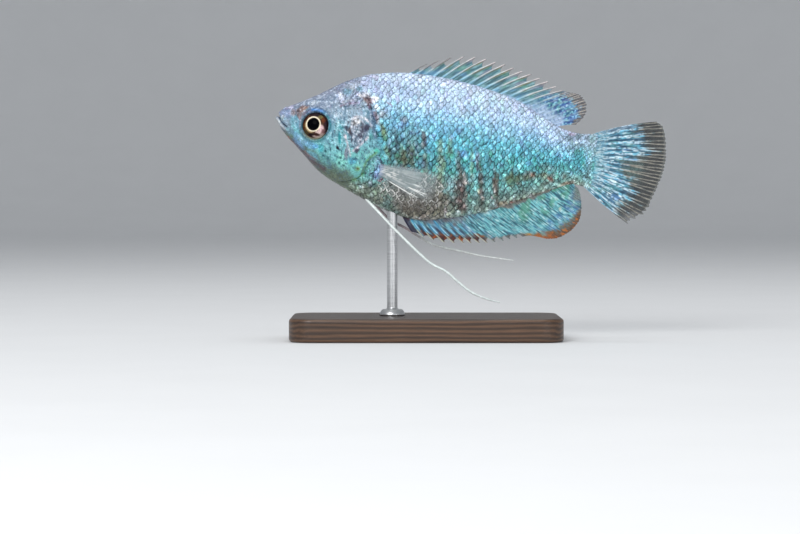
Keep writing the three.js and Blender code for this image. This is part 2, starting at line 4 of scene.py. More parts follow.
import bpy
import numpy as np
from bpy.props import FloatProperty, FloatVectorProperty, PointerProperty
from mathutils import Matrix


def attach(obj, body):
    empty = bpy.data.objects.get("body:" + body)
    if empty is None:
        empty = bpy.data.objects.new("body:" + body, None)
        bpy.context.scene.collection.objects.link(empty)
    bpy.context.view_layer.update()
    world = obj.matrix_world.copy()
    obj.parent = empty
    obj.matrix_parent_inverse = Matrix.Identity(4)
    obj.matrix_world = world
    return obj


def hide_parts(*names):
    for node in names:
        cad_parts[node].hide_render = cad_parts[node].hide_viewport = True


# A dwarf gourami of the powder blue aquarium form, life size, on its display stand. Lengths are in
# millimetres and turned into metres where a mesh is made. The fish is drawn in its own frame: the tip of
# the lower jaw is the origin, +X runs along the body to the tail, -Y is the left flank, +Z is the back.
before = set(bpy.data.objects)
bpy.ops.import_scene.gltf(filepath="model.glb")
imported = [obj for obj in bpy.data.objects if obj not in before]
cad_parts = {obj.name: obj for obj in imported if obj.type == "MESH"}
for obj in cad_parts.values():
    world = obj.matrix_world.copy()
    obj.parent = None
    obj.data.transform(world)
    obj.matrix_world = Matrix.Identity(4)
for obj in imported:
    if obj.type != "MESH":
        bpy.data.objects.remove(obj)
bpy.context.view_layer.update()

bl_info = {
    "name": "Dwarf gourami display model",
    "version": (1, 0, 0),
    "blender": (4, 5, 0),
    "location": "View3D > Sidebar > Gourami",
    "description": "Builds a life-size dwarf gourami on its display stand",
    "category": "Object",
}

MM = .001
BODY = "root"
SIDES = ((-1, "left"), (1, "right"))

# Body, as in the solids: (place along the body, size there)
BODY_LENGTH = 53.6
SKIN_END = 54.5  # the skin runs out over the root of the tail fin
NOSE_UP = math.radians(7)
BACK_LINE = [
    (0, .3), (.85, 1.9), (2.1, 2.5), (6.3, 4.85), (10.5, 7.5), (14.8, 9.35), (21.7, 10.45),
    (30.7, 10.0), (39.5, 8.25), (44.2, 6.2), (48, 4.35), (51, 3.75), (BODY_LENGTH, 3.9), (SKIN_END, 4.05),
]
BELLY_LINE = [
    (0, -.3), (1.3, -2.05), (5.4, -5.8), (7.9, -7.9), (10.7, -9.45), (16.6, -11.85), (21, -13.4),
    (24.7, -14.15), (28, -13.9), (36.5, -11.6), (42, -9.15), (47.1, -6.7), (51, -4.95), (BODY_LENGTH, -5.2),
    (SKIN_END, -5.45),
]
HALF_WIDTH = [
    (0, .35), (.5, .95), (1.6, 1.6), (3.5, 2.45), (6.4, 3.45), (10, 4.2), (14.5, 4.75), (20, 4.9),
    (26, 4.6), (32, 3.95), (38, 3.1), (44, 2.3), (50, 1.4), (BODY_LENGTH, .5), (54.1, .28), (SKIN_END, .1),
]
WIDEST_LEVEL = [(0, 0), (3, -.4), (6.4, -1), (12, -2), (20, -3), (28, -2.5), (38, -1.5), (48, -.7)]
BACK_FULLNESS = [(0, 2), (12, 2), (22, 1.8), (48, 1.8), (BODY_LENGTH, 2)]
BELLY_FULLNESS = [(0, 2), (8, 1.85), (18, 2.1), (25, 1.75), (46, 1.6), (BODY_LENGTH, 2)]

# Skin grid: (first place, last place, step between rings of points), and the points in a ring
STATION_ZONES = [(0, 1.6, .05), (1.6, 18.6, .105), (18.6, SKIN_END, .26)]
POINTS_ROUND = 280

# Head: lines and places as seen from the side, (along the body, up)
MOUTH = [(-.9, 2), (.4, .2), (1.15, -.75), (2.05, -1.4), (4.4, -4.6)]
MOUTH_CORNER_X = 2
EYE_CENTRE = (6.6, -.42)
EYE_RADIUS = 2.25
EYE_DEPTH = 1.2
EYE_SUNK = .5
NOSTRILS = [(2.5, 1.3, .2), (3.45, 1.75, .2)]  # with their radius
CHEEK_LINE = [(2.9, -2.9), (4, -4), (5.5, -5.25), (7.6, -6.35), (10, -7.2), (11.6, -7.6)]
GILL_REAR = [
    (13.6, 6.3), (15, 5.2), (16.2, 2), (17.2, -.9), (18.2, -3.4), (16.5, -5.8), (15.2, -8.1), (13.2, -9),
    (11.2, -9.25),
]
GILL_FRONT = [(12, -8.6), (12.5, -5.4), (12.1, -1.7), (11.6, 2), (11.9, 4.6), (12.8, 6.1)]
HEAD_REAR = [(12.6, 14), *GILL_REAR[:-1], (12.2, -14)]  # from over the nape to under the throat
PLATE_EDGES = [  # creases between the plates of the face
    [(8.9, -3.2), (8.3, -4.1), (7.2, -4.7), (5.9, -4.8), (4.7, -4.2), (3.9, -3.2), (3.3, -2)],
    [(10.4, 2.4), (11, .4), (11.3, -1.7), (11.6, -4), (11.4, -6)],
]

# Fins: rays go from front to back, or from top to bottom, and their roots stand in the body
ROOT_SUNK = 1.2
# Rays of the upright fins: (root along the body, tip along, tip up), the spines first
DORSAL_SPINES = 15
DORSAL_RAYS = [
    (21.6, 24.1, 12.3), (22.8, 26, 13.1), (24.2, 28, 13.9), (25.8, 30.1, 14.3), (27.2, 32.1, 14.5),
    (28.6, 34, 14.4), (30.1, 35.7, 14.1), (31.8, 37.3, 13.9), (33.2, 38.8, 13.5), (34.6, 40.4, 13.1),
    (35.9, 41.9, 12.8), (37.4, 43.5, 12.3), (38.8, 44.9, 11.9), (40.1, 46.4, 11.2), (41.3, 47.6, 10.7),
    (42.4, 48.9, 10.5), (43.3, 49.9, 10.5), (44.2, 50.8, 10.2), (45, 51.5, 9.6), (45.8, 52, 8.8),
    (46.5, 52.1, 7.6), (47.1, 51.7, 6.5), (47.7, 50.6, 5.2),
]
ANAL_SPINES = 14
ANAL_RAYS = [
    (23.3, 25, -16.3), (24.6, 27, -16.9), (25.8, 28.8, -17.2), (27, 30.7, -17.4), (28.3, 32.4, -17.3),
    (29.5, 34, -17.1), (30.5, 35.3, -17), (31.5, 36.7, -16.8), (32.6, 38, -16.6), (33.7, 39.3, -16.3),
    (34.9, 40.7, -15.9), (35.9, 41.8, -15.5), (36.9, 43, -15.2), (37.9, 44, -14.8), (38.7, 45.1, -14.5),
    (39.3, 46.1, -14.5), (39.9, 47.1, -14.6), (40.5, 48, -14.7), (41.1, 48.9, -14.6), (41.8, 49.7, -14.4),
    (42.6, 50.5, -14), (43.4, 51.3, -13.4), (44.3, 52, -12.8), (45.2, 52.6, -12), (46.2, 53.1, -11.1),
    (47.3, 53.3, -10), (48.4, 53.3, -8.8), (49.5, 53.1, -7.6), (50.6, 52.8, -6.5), (51.5, 52.3, -5.5),
]
# Fin tables by the share of the way from the top ray to the lowest, or by the ray's number
TAIL_FIN = {
    "rays": 16, "root_top": 3.5, "root_bottom": -4.7, "root_x": BODY_LENGTH - .9,
    "tip_x": [(0, 64.2), (.08, 65.5), (.23, 66.3), (.46, 66.4), (.7, 65.2), (.85, 64), (1, 61.2)],
    "tip_z": [(0, 7.4), (.08, 6.5), (.23, 3.4), (.46, -.6), (.7, -5), (.85, -8.2), (1, -10.4)],
}
PECTORAL_FIN = {
    "rays": 10, "root_top": (18.7, -5.4), "root_bottom": (18.9, -8),
    "reach": [(0, 11.8), (2, 12.7), (5, 11.8), (9, 5.4)],
    "lean": [(0, 1), (5, -19), (9, -46)],
    "flare": {"left": 24, "right": 34},
    "bend": .5,
}
# Feelers: (along the body, sideways, up) from root to tip
LEFT_FEELER = [
    (16.2, -.8, -11), (17.1, -1, -12), (19.3, -1.6, -13.8), (22.3, -2.5, -16.3), (28.3, -3.6, -20.8),
    (31.6, -4, -22.2), (34, -4.2, -23.8), (36.4, -4.4, -25.2), (39.2, -4.6, -26), (41.4, -4.7, -26.3),
]
RIGHT_FEELER = [
    (17, .8, -11.2), (18.4, 1, -12.4), (19.3, 1.4, -13.3), (21.3, 2.1, -14.8), (24.1, 2.6, -15.9),
    (27, 3, -17.3), (29.8, 3.2, -18.2), (33.4, 3.4, -18.6), (37.5, 3.5, -19), (43, 3.5, -19.1),
]

# Stand
BASE = {"length": 46, "width": 27, "height": 4, "corner": 4, "chamfer": .6}
ROD = {"radius": .9, "along": 21.4, "collar_top": 1.9, "collar_radius": 2.2, "collar_height": 1.1}
FEELER_CLEARANCE = 2.4  # from the base up to the lowest feeler tip
BALANCE_POINT = 25.5  # place along the body that stands over the middle of the base

# Where the fish's own frame starts in the row frame, in millimetres
LOWEST_TIP = min(
    z * math.cos(NOSE_UP) - x * math.sin(NOSE_UP) for x, _, z in (LEFT_FEELER[-1], RIGHT_FEELER[-1])
)
ORIGIN = (-BALANCE_POINT * math.cos(NOSE_UP), 0, BASE["height"] + FEELER_CLEARANCE - LOWEST_TIP)


# Curves and noise
def through(pairs):
    """A smooth function through (x, value) pairs, which keeps its end values outside them."""
    x, y = np.array(pairs, float).T
    last = len(x) - 1
    after = np.minimum(np.arange(len(x)) + 1, last)
    before = np.maximum(np.arange(len(x)) - 1, 0)
    slope = (y[after] - y[before]) / (x[after] - x[before])

    def at(place):
        place = np.clip(place, x[0], x[-1])
        i = np.clip(np.searchsorted(x, place, side="right") - 1, 0, last - 1)
        width = x[i + 1] - x[i]
        t = (place - x[i]) / width
        rise = t * t * (3 - 2 * t)
        leave = t * (1 - t) ** 2 * width * slope[i]
        arrive = t * t * (t - 1) * width * slope[i + 1]
        return y[i] + rise * (y[i + 1] - y[i]) + leave + arrive

    return at


def smooth_line(points, count):
    """Points along a smooth line through the given ones."""
    points = np.asarray(points, float)
    t = np.linspace(0, len(points) - 1, count)
    i = np.minimum(t.astype(int), len(points) - 2)
    t = (t - i)[:, None]
    a, b = points[i], points[i + 1]
    leave = (b - points[np.maximum(i - 1, 0)]) / 2
    arrive = (points[np.minimum(i + 2, len(points) - 1)] - a) / 2
    cubed, squared = 2 * a - 2 * b + leave + arrive, 3 * b - 3 * a - 2 * leave - arrive
    return cubed * t**3 + squared * t**2 + leave * t + a


def ease(low, high, value):
    """A gentle step from 0 at low to 1 at high."""
    t = np.clip((value - low) / (high - low), 0, 1)
    return t * t * (3 - 2 * t)


def fade(low, high, value):
    """A gentle step from 1 at low to 0 at high."""
    return 1 - ease(low, high, value)


def bump(value, width):
    """A soft hump, 1 where the value is 0."""
    return np.exp(-((value / width) ** 2))


def full_turn(count):
    """So many equal turns round a circle, in radians."""
    return 2 * np.pi * np.arange(count) / count


def from_line(places, line):
    """How far places lie from a line, positive to the left of its run, and how far along it, 0 to 1."""
    line = np.asarray(line, float)
    lengths = np.hypot(*np.diff(line, axis=0).T)
    passed = np.concatenate([[0], np.cumsum(lengths)])
    nearest = np.full(len(places), np.inf)
    side = np.ones(len(places))
    along = np.zeros(len(places))
    for i, (start, run) in enumerate(zip(line, np.diff(line, axis=0))):
        t = np.clip((places - start) @ run / lengths[i] ** 2, 0, 1)
        off = places - start - t[:, None] * run
        distance = np.hypot(off[:, 0], off[:, 1])
        closer = distance < nearest
        nearest[closer] = distance[closer]
        side[closer] = np.sign(run[0] * off[:, 1] - run[1] * off[:, 0])[closer]
        along[closer] = (passed[i] + t * lengths[i])[closer] / passed[-1]
    return nearest * np.where(side == 0, 1, side), along


NOISE_MIX = np.array([374761393, 668265263, 1274126177, 1103515245], np.uint32)  # scatters the cells' values


def noise(points, size, seed):
    """Smooth noise from -1 to 1 with lumps of the given size, the same in each run. Each use has its seed."""
    scaled = points / size + 100.5 + 7.3 * seed
    cell = np.floor(scaled).astype(np.int64)
    t = scaled - cell
    t = np.moveaxis(t * t * (3 - 2 * t), -1, 0)
    total = 0
    for corner in np.ndindex(2, 2, 2):
        x, y, z = np.moveaxis((cell + corner).astype(np.uint32), -1, 0)
        n = x * NOISE_MIX[0] + y * NOISE_MIX[1] + z * NOISE_MIX[2]
        n = (n ^ (n >> np.uint32(13))) * NOISE_MIX[3]
        n = (n ^ (n >> np.uint32(16))) / 2**31 - 1
        weight = 1
        for part, d in zip(t, corner):
            weight = weight * (part if d else 1 - part)
        total = total + weight * n
    return total


def ray_noise(places, seed):
    """Noise over numbers, such as places across a fin's rays."""
    return noise(np.stack([places, 0 * places, 0 * places], -1), 1, seed)


def row_frame(points):
    """Places of the fish's frame as metres in the row frame."""
    x, y, z = np.moveaxis(np.asarray(points, float), -1, 0)
    along = ORIGIN[0] + x * math.cos(NOSE_UP) + z * math.sin(NOSE_UP)
    up = ORIGIN[2] - x * math.sin(NOSE_UP) + z * math.cos(NOSE_UP)
    return np.stack([along, ORIGIN[1] + y, up], -1) * MM


# Body surface
back_at = through(BACK_LINE)
belly_at = through(BELLY_LINE)
half_width_at = through(HALF_WIDTH)
level_at = through(WIDEST_LEVEL)
back_fullness_at = through(BACK_FULLNESS)
belly_fullness_at = through(BELLY_FULLNESS)


def bare_skin(x, turn):
    """A place on the body: how far along, and the turn round it from the left flank upwards."""
    level = level_at(x)
    up, out = np.sin(turn), np.cos(turn)
    fullness = 2 / np.where(up > 0, back_fullness_at(x), belly_fullness_at(x))
    height = np.where(up > 0, back_at(x) - level, level - belly_at(x))
    y = -np.sign(out) * half_width_at(x) * np.abs(out) ** fullness
    return np.stack([x, y, level + np.sign(up) * height * np.abs(up) ** fullness], -1)


def height_share(x, z):
    """How far up a place is, from 0 at the belly's line to 1 at the back's."""
    return (z - belly_at(x)) / np.maximum(back_at(x) - belly_at(x), .5)


def flank_at(x, z):
    """How far the skin stands from the middle plane at a place seen from the side."""
    level = level_at(x)
    above = z > level
    height = np.where(above, back_at(x) - level, level - belly_at(x))
    fullness = np.where(above, back_fullness_at(x), belly_fullness_at(x))
    share = np.minimum(np.abs(z - level) / height, 1)
    return half_width_at(x) * (1 - share**fullness) ** (1 / fullness)


def flank_axes(x, z, side, step=.4):
    """A place on a flank with its way to the tail, its way up and its way out. side is -1 on the left."""
    slope_x = (flank_at(x + step, z) - flank_at(x - step, z)) / (2 * step)
    slope_z = (flank_at(x, z + step) - flank_at(x, z - step)) / (2 * step)
    out = np.array([-slope_x, side, -slope_z])
    out /= np.linalg.norm(out)
    up = np.array([0, 0, 1.0])
    up -= out * up.dot(out)
    up /= np.linalg.norm(up)
    rear = np.cross(up, out) * -side
    return np.array([x, side * flank_at(x, z), z]), rear, up, out


def grid_normals(points):
    along = np.gradient(points, axis=0)
    around = np.roll(points, -1, axis=1) - np.roll(points, 1, axis=1)
    normal = np.cross(along, around)
    return normal / np.maximum(np.linalg.norm(normal, axis=-1, keepdims=True), 1e-9)


LIP_UPPER, LIP_LOWER = (.48, .3, .26), (-.33, .22, .2)  # from the cleft, half width, height
CLEFT_HALF_WIDTH, CLEFT_DEPTH, CREASE_DEPTH = .14, .34, .1


def mouth_relief(places):
    """The lips, the cleft between them and the crease that runs on from its corner."""
    across, _ = from_line(places, MOUTH)
    lips = fade(MOUTH_CORNER_X - .3, MOUTH_CORNER_X + .5, places[:, 0])
    crease = fade(MOUTH_CORNER_X + .4, MOUTH[-1][0], places[:, 0])
    upper, lower = (height * bump(across - off, wide) for off, wide, height in (LIP_UPPER, LIP_LOWER))
    cleft = (CLEFT_DEPTH * lips + CREASE_DEPTH * crease) * bump(across, CLEFT_HALF_WIDTH)
    return lips * (upper + lower) - cleft


SOCKET_DEPTH, SOCKET_WALL = 1.3, .13
EYELID, EYE_TROUGH = (.3, .16, .2), (.85, .25, -.07)  # from the eye's edge, half width, height


def eye_relief(points):
    """The sockets, with a rim and a shallow trough round them."""
    raised = np.zeros(len(points))
    for side, _ in SIDES:
        centre, rear, up, out = flank_axes(*EYE_CENTRE, side)
        away = points - centre
        r = np.hypot(away @ rear, away @ up)
        near = (np.sign(points[:, 1]) == side) & (np.abs(away @ out) < EYE_RADIUS)
        socket = -SOCKET_DEPTH * fade(EYE_RADIUS - .02, EYE_RADIUS + SOCKET_WALL, r)
        rim, trough = (
            height * bump(r - EYE_RADIUS - off, wide) for off, wide, height in (EYELID, EYE_TROUGH)
        )
        raised += np.where(near, socket + rim * ease(EYE_RADIUS, EYE_RADIUS + SOCKET_WALL, r) + trough, 0)
    return raised


COVER_RISE, COVER_SPREAD, GILL_GAP_DEPTH = .24, 3.8, .28


def gill_relief(places):
    """The gill cover's raised rear edge, the gap behind it and the groove before its plate."""
    across, along = from_line(places, smooth_line(GILL_REAR, 48))
    inside = -across
    ends = ease(0, .05, along) * fade(.93, 1, along)
    cover = COVER_RISE * ease(-.07, .07, inside) * fade(.3, COVER_SPREAD, inside)
    gap = np.where(inside < 0, -GILL_GAP_DEPTH * bump(inside + .22, .26), 0)
    front, _ = from_line(places, smooth_line(GILL_FRONT, 24))
    return ends * (cover + gap) - .07 * bump(front, .15)


def face_relief(places):
    """Creases between the plates of the face, and the throat set in under the cheek."""
    below, along = from_line(places, smooth_line(CHEEK_LINE, 30))
    ends = ease(0, .1, along) * fade(.9, 1, along)
    raised = -.16 * ends * bump(below, .14) - .1 * ends * np.where(below < 0, bump(below, 1.3), 0)
    for edge in PLATE_EDGES:
        away, along = from_line(places, smooth_line(edge, 24))
        ends = ease(0, .15, along) * fade(.85, 1, along)
        raised += ends * (.05 * bump(away - .3, .25) - .07 * bump(away, .13))
    for x, z, radius in NOSTRILS:
        r = np.hypot(places[:, 0] - x, places[:, 1] - z)
        raised += .09 * bump(r - radius - .1, .08) - .32 * bump(r, radius * .85)
    return raised


HEAD_RELIEF_END = 20  # place along the body


@functools.cache
def skin_surface():
    """The skin as a grid of stations by points round the body, starting at the belly."""
    stations = np.concatenate([np.arange(a, b, step) for a, b, step in STATION_ZONES] + [[SKIN_END]])
    bare = bare_skin(*np.meshgrid(stations, full_turn(POINTS_ROUND) - np.pi / 2, indexing="ij"))
    flat = bare.reshape(-1, 3)
    x, places = flat[:, 0], flat[:, ::2]
    raised = np.zeros(len(flat))
    head = x < HEAD_RELIEF_END
    raised[head] = gill_relief(places[head]) + face_relief(places[head]) + eye_relief(flat[head])
    front = x < MOUTH[-1][0] + 1
    raised[front] += mouth_relief(places[front])
    pores = .03 * noise(flat, .5, 1) + .022 * noise(flat, .24, 9)
    raised += pores * fade(12, HEAD_RELIEF_END, x)
    points = bare + grid_normals(bare) * raised.reshape(bare.shape[:2])[..., None]
    ring = np.concatenate([bare, bare[:, :1]], axis=1)
    steps = np.linalg.norm(np.diff(ring, axis=1), axis=-1)
    arc = np.concatenate([np.zeros((len(bare), 1)), np.cumsum(steps, axis=1)], axis=1)
    arc -= arc[:, POINTS_ROUND // 2][:, None]  # girth from the ridge of the back
    return {"stations": stations, "points": points, "normals": grid_normals(points), "arc": arc}


@functools.cache
def turn_table():
    """The turn at each station for each girth up or down from the middle of the left flank.

    Also how far it is from that middle up to the ridge of the back, and down to the belly's.
    """
    girth = skin_surface()["arc"]
    quarter = POINTS_ROUND // 4
    order = np.arange(-quarter * 2 // 3, 2 * quarter + quarter * 2 // 3)
    arc = np.concatenate([girth[:, :-1] - girth[:, -1:] + girth[:, :1], girth], axis=1)
    arc = arc[:, order + POINTS_ROUND] - arc[:, quarter + POINTS_ROUND][:, None]
    turns = 2 * np.pi * order / POINTS_ROUND - np.pi / 2
    girths = np.arange(-24, 24.05, .1)
    table = np.array([np.interp(girths, row, turns) for row in arc])
    return girths, table, girth[:, 2 * quarter] - girth[:, quarter], girth[:, quarter] - girth[:, 0]


def grid_at(values, row, column, wrap):
    """Values of a grid between its lines."""
    i = np.clip(row.astype(int), 0, len(values) - 2)
    j = np.floor(column).astype(int)
    s, t = row - i, column - j
    if wrap:
        j, k = j % values.shape[1], (j + 1) % values.shape[1]
    else:
        j = np.clip(j, 0, values.shape[1] - 2)
        t, k = column - j, j + 1
    if values.ndim == 3:
        s, t = s[..., None], t[..., None]
    before, after = ((1 - t) * values[line, j] + t * values[line, k] for line in (i, i + 1))
    return (1 - s) * before + s * after


def on_skin(x, girth, side, lift):
    """Places over the skin, at a girth above the middle of a flank."""
    skin = skin_surface()
    girths, table, _, _ = turn_table()
    row = np.interp(x, skin["stations"], np.arange(len(skin["stations"])))
    turn = grid_at(table, row, (girth - girths[0]) / (girths[1] - girths[0]), False)
    if side > 0:
        turn = np.pi - turn
    column = (turn + np.pi / 2) * POINTS_ROUND / (2 * np.pi)
    normal = grid_at(skin["normals"], row, column, True)
    return grid_at(skin["points"], row, column, True) + normal * lift[..., None]


UNWRAP_SIZE = 60  # millimetres across the skin's unwrap


def unwrapped(x, from_ridge):
    """The skin unrolled along the back, with each millimetre of it as long along as round the body."""
    return np.stack([(x + 2) / UNWRAP_SIZE, .5 + from_ridge / UNWRAP_SIZE], -1)


# Markings: colours are in 0 to 255 as seen, and turned into light where they are set.
# Share of the way from belly to back, and the colour there
# The trunk's back is lighter partly from its own colour and partly from painted top light.
TRUNK_BANDS_AND_TOP_LIGHT = [
    (0, (122, 138, 130)), (.12, (112, 156, 152)), (.26, (102, 178, 180)), (.42, (84, 168, 180)),
    (.55, (100, 180, 202)), (.68, (140, 198, 226)), (.82, (180, 208, 236)), (.93, (186, 210, 234)),
    (1, (190, 206, 230)),
]
HEAD_BANDS = [
    (0, (84, 98, 86)), (.12, (92, 116, 104)), (.22, (116, 188, 188)), (.4, (124, 190, 200)),
    (.55, (108, 162, 180)), (.68, (124, 156, 178)), (.82, (134, 150, 172)), (1, (126, 136, 158)),
]
# Spots: (along, up, reach along, reach up, lean, colour, strength, softness, patchiness)
SPOTS = [
    (17.4, 7.7, 5.78, 2.89, 1, 158, 164, 196, .42, 1, .3),  # greyer scales behind the nape
    (14.4, 8.2, 1.36, 1.53, 7, 150, 156, 184, .4, .8, .6),
    (21.9, -2.7, 3.4, 5.1, 7, 84, 132, 144, .75, .6, .5),  # dim teal behind the gill cover
    (20.3, 1.9, 1.19, 1.53, 7, 118, 188, 222, .7, .5, .3), (21.3, 2.5, .68, .68, 7, 92, 104, 126, .7, .5, .6),
    (21.9, -4.1, 1.53, 2.04, 7, 84, 92, 66, .6, .6, .7),
    (23.8, -2.5, 1.36, 3.06, 12, 92, 120, 120, .5, .6, .6),
    (25.2, -.6, .51, 1.87, 11, 92, 78, 84, .75, .5, .5), (18.3, -.2, .54, 1.7, 22, 102, 122, 80, .85, .5, .4),
    (19.4, -3.4, .51, 1.36, 27, 108, 122, 84, .6, .5, .4),
    (50.5, 3, 2.89, .94, 10, 116, 136, 154, .85, .5, .8), (50.1, 3.5, .85, .41, 7, 178, 158, 184, .7, .5, .6),
    (53.4, 3.2, 1.02, 1.02, 7, 124, 148, 160, .7, .6, .7),
    (54.1, 1.4, .68, 1.36, 7, 138, 170, 182, .6, .6, .8),
    (51.2, 1.4, 2.21, 1.19, 10, 112, 148, 156, .6, .6, .7),
    (51.7, -2.5, 1.87, 1.02, 12, 112, 182, 202, .55, .6, .7),
    (52.2, -.4, .68, 1.87, 3, 66, 168, 176, .6, .6, .7), (51.3, .4, .51, .68, 7, 44, 156, 140, .55, .6, .5),
    (46.4, -2.8, 2.38, 1.02, 12, 82, 120, 120, .65, .6, .8),
    (42.4, 4.6, 1.02, 1.02, 7, 176, 206, 226, .4, .6, .5),
    (30.7, -7.1, 1.36, 2.04, 7, 150, 196, 196, .6, .6, .7),
    (34.2, -6.5, .68, 1.53, 7, 140, 188, 190, .6, .6, .7), (36.9, -6, .61, 1.7, 7, 128, 176, 178, .5, .6, .7),
    (26.6, -11.5, 5.78, 3.4, 1, 132, 126, 116, .9, .35, .25),  # brown grey belly
    (23.9, -9, 4.42, 2.38, -8, 158, 160, 160, .85, .45, .2),
    (21.3, -7.7, 1.87, 1.36, -8, 206, 210, 210, .8, .5, .3),
    (28.8, -7.3, 2.72, 1.53, -3, 136, 166, 166, .6, .6, .3),
    (17.6, -10.9, 2.72, 2.38, -23, 120, 130, 116, .8, .5, .3),
    (12.9, -10, 4.76, 1.36, -26, 98, 112, 94, .85, .4, .2),
    (17.4, -6.5, 1.53, 2.04, 27, 136, 160, 210, .9, .35, .2),  # blue breast fin base
    # The first spot below is a painted highlight on the breast fin's blue base.
    (17.1, -5.2, .51, .44, 7, 190, 212, 236, .8, .5, 0), (18.4, -5, .26, .68, 37, 52, 60, 92, .8, .4, 0),
    (18.4, -6, .31, .31, 7, 120, 70, 140, .8, .5, 0), (18.8, -8.2, .58, .27, 27, 166, 72, 96, .8, .5, .3),
    (17.4, -9.1, 1.02, .68, 7, 96, 136, 138, .7, .5, .5),
    (15.3, -5.9, 2.89, 3.06, 27, 112, 190, 186, .85, .35, .2),  # green blue gill cover
    (13.7, -5.6, .85, .68, 7, 84, 176, 206, .8, .5, .2), (17.5, -3.4, .68, .44, -23, 84, 208, 184, .9, .5, 0),
    (16.2, -1.2, .68, .44, 7, 84, 190, 172, .8, .5, .2), (14.7, -6.8, .58, .48, 7, 122, 186, 128, .8, .4, 0),
    (14.7, -6.8, .31, .24, 7, 92, 96, 66, .9, .4, 0),
    (14.1, -.4, 1.87, 2.55, 15, 120, 132, 152, .85, .4, .3),  # bare bright plate
    (13.4, 1, 1.02, .68, 17, 112, 104, 92, .7, .6, .5),
    (13.8, -2.3, 1.02, 1.36, -3, 116, 136, 156, .7, .5, .4),
    (14.3, -.7, .85, .51, 7, 178, 190, 200, .6, .5, .6), (15, 5, .92, .68, -23, 92, 70, 74, .95, .4, .5),
    (15.5, 4.2, .51, .85, -3, 98, 74, 84, .95, .4, .4), (14.2, 5.7, 1.19, .51, 17, 228, 224, 234, .9, .5, .6),
    (16.2, 5.2, .85, .61, 27, 236, 232, 240, .9, .5, .6), (16.6, 3.9, .75, .48, 7, 234, 234, 236, .9, .5, .6),
    (17.1, 1.5, .51, 1.02, 17, 190, 200, 208, .6, .6, .9),
    (17.6, 2.8, .68, .68, 7, 142, 142, 154, .6, .6, .5), (14.9, 2.8, .75, .58, 7, 66, 136, 156, .7, .5, .4),
    (11.4, 5.9, 1.02, .68, 7, 110, 156, 180, .7, .5, .4), (13.4, 6.7, .68, .44, 7, 104, 152, 170, .6, .5, .4),
    (10.4, 5, .51, .85, 27, 218, 228, 238, .75, .4, .3), (12.3, 6.9, .68, .51, 37, 216, 228, 240, .6, .5, .5),
    (11.8, 7.3, 1.19, .58, 31, 176, 186, 206, .6, .6, .6),
    (12.2, 2.8, 1.19, .68, 7, 146, 176, 196, .5, .6, .5), (6, 3.4, 1.02, .41, 25, 214, 222, 230, .75, .5, .3),
    (8.2, 1.9, .68, 1.02, 37, 150, 172, 190, .5, .6, .4), (5, -1.9, .85, .85, 7, 138, 188, 228, .7, .5, .3),
    (3.7, -2.4, 1.02, .75, -33, 118, 170, 214, .65, .6, .6),
    (4, -.5, 1.19, 1.36, 7, 108, 166, 190, .7, .6, .3), (5.9, -3.6, 1.7, .85, -23, 108, 168, 212, .7, .6, .6),
    (4.7, -3, 1.19, .61, -35, 150, 190, 220, .55, .6, .9), (7.2, -3.9, .68, .51, 7, 84, 158, 216, .6, .6, .5),
    (4.2, -3.8, 1.53, .68, -37, 112, 160, 204, .85, .5, .3),
    (6.8, -5.5, 1.53, .75, -29, 104, 166, 186, .8, .5, .4),
    (8.1, -4.1, .51, .85, 7, 66, 172, 182, .85, .5, .1),
    (10.9, -1.1, 1.02, 2.38, 11, 136, 200, 206, .6, .6, .5),
    (11, -1.8, .29, 1.36, 11, 30, 144, 152, .85, .4, .2), (11.1, -.3, .51, .51, 7, 52, 150, 160, .6, .5, .3),
    (11.8, -5.8, 1.02, 1.53, 7, 142, 222, 206, .7, .5, .4),
    (9, -6, 1.53, 1.19, -23, 96, 160, 160, .6, .6, .4), (12.5, -4.4, .41, 1.36, 1, 132, 116, 134, .7, .5, .3),
    (18.1, 3, 1.02, 1.19, 7, 138, 150, 168, .6, .6, .6),
    (19.7, -.4, 1.19, 1.53, 17, 86, 130, 144, .5, .6, .6),
    # The first spot below is a painted shadow in the gap behind the gill cover.
    (16.7, 2.3, .44, 1.36, 13, 116, 98, 108, .8, .5, .5), (.1, .3, .58, .75, 7, 150, 160, 174, .9, .5, .2),
    (1.4, 1.1, 1.1, 1.1, 7, 134, 150, 184, .85, .5, .4), (2.2, 2.2, .51, .44, 7, 178, 168, 204, .7, .5, .1),
    (1, .8, .41, .31, 7, 104, 116, 144, .7, .5, .4), (2, .2, .41, .34, 7, 98, 118, 144, .7, .5, .4),
    (2.3, 1.2, .29, .37, 7, 208, 212, 228, .7, .5, .4), (1.5, 1.9, .34, .24, 27, 118, 112, 146, .7, .5, .4),
    (1.5, -.8, 1.19, 1.53, -33, 132, 148, 168, .85, .6, .3),
    (.8, 0, .41, 1.02, -28, 182, 190, 196, .7, .5, .3), (2.6, -1.8, .68, .85, -33, 112, 140, 164, .7, .6, .3),
    (2.7, 1.4, .44, .68, 17, 150, 128, 128, .7, .5, .3), (4, 2, 1.28, .65, 35, 128, 100, 94, .9, .5, .5),
    (3.7, 1.1, .51, .95, 22, 104, 78, 76, .9, .5, .5), (4.7, 2.4, .58, .27, 32, 160, 120, 96, .7, .5, .6),
    (4, .5, .37, .51, 27, 168, 140, 148, .7, .5, .2), (3.2, .1, .51, .85, 7, 92, 140, 160, .6, .6, .3),
    (5.1, 2, .34, .2, 7, 110, 152, 104, .7, .5, 0), (2.3, -2.9, .24, .2, 7, 150, 76, 62, .7, .4, 0),
]
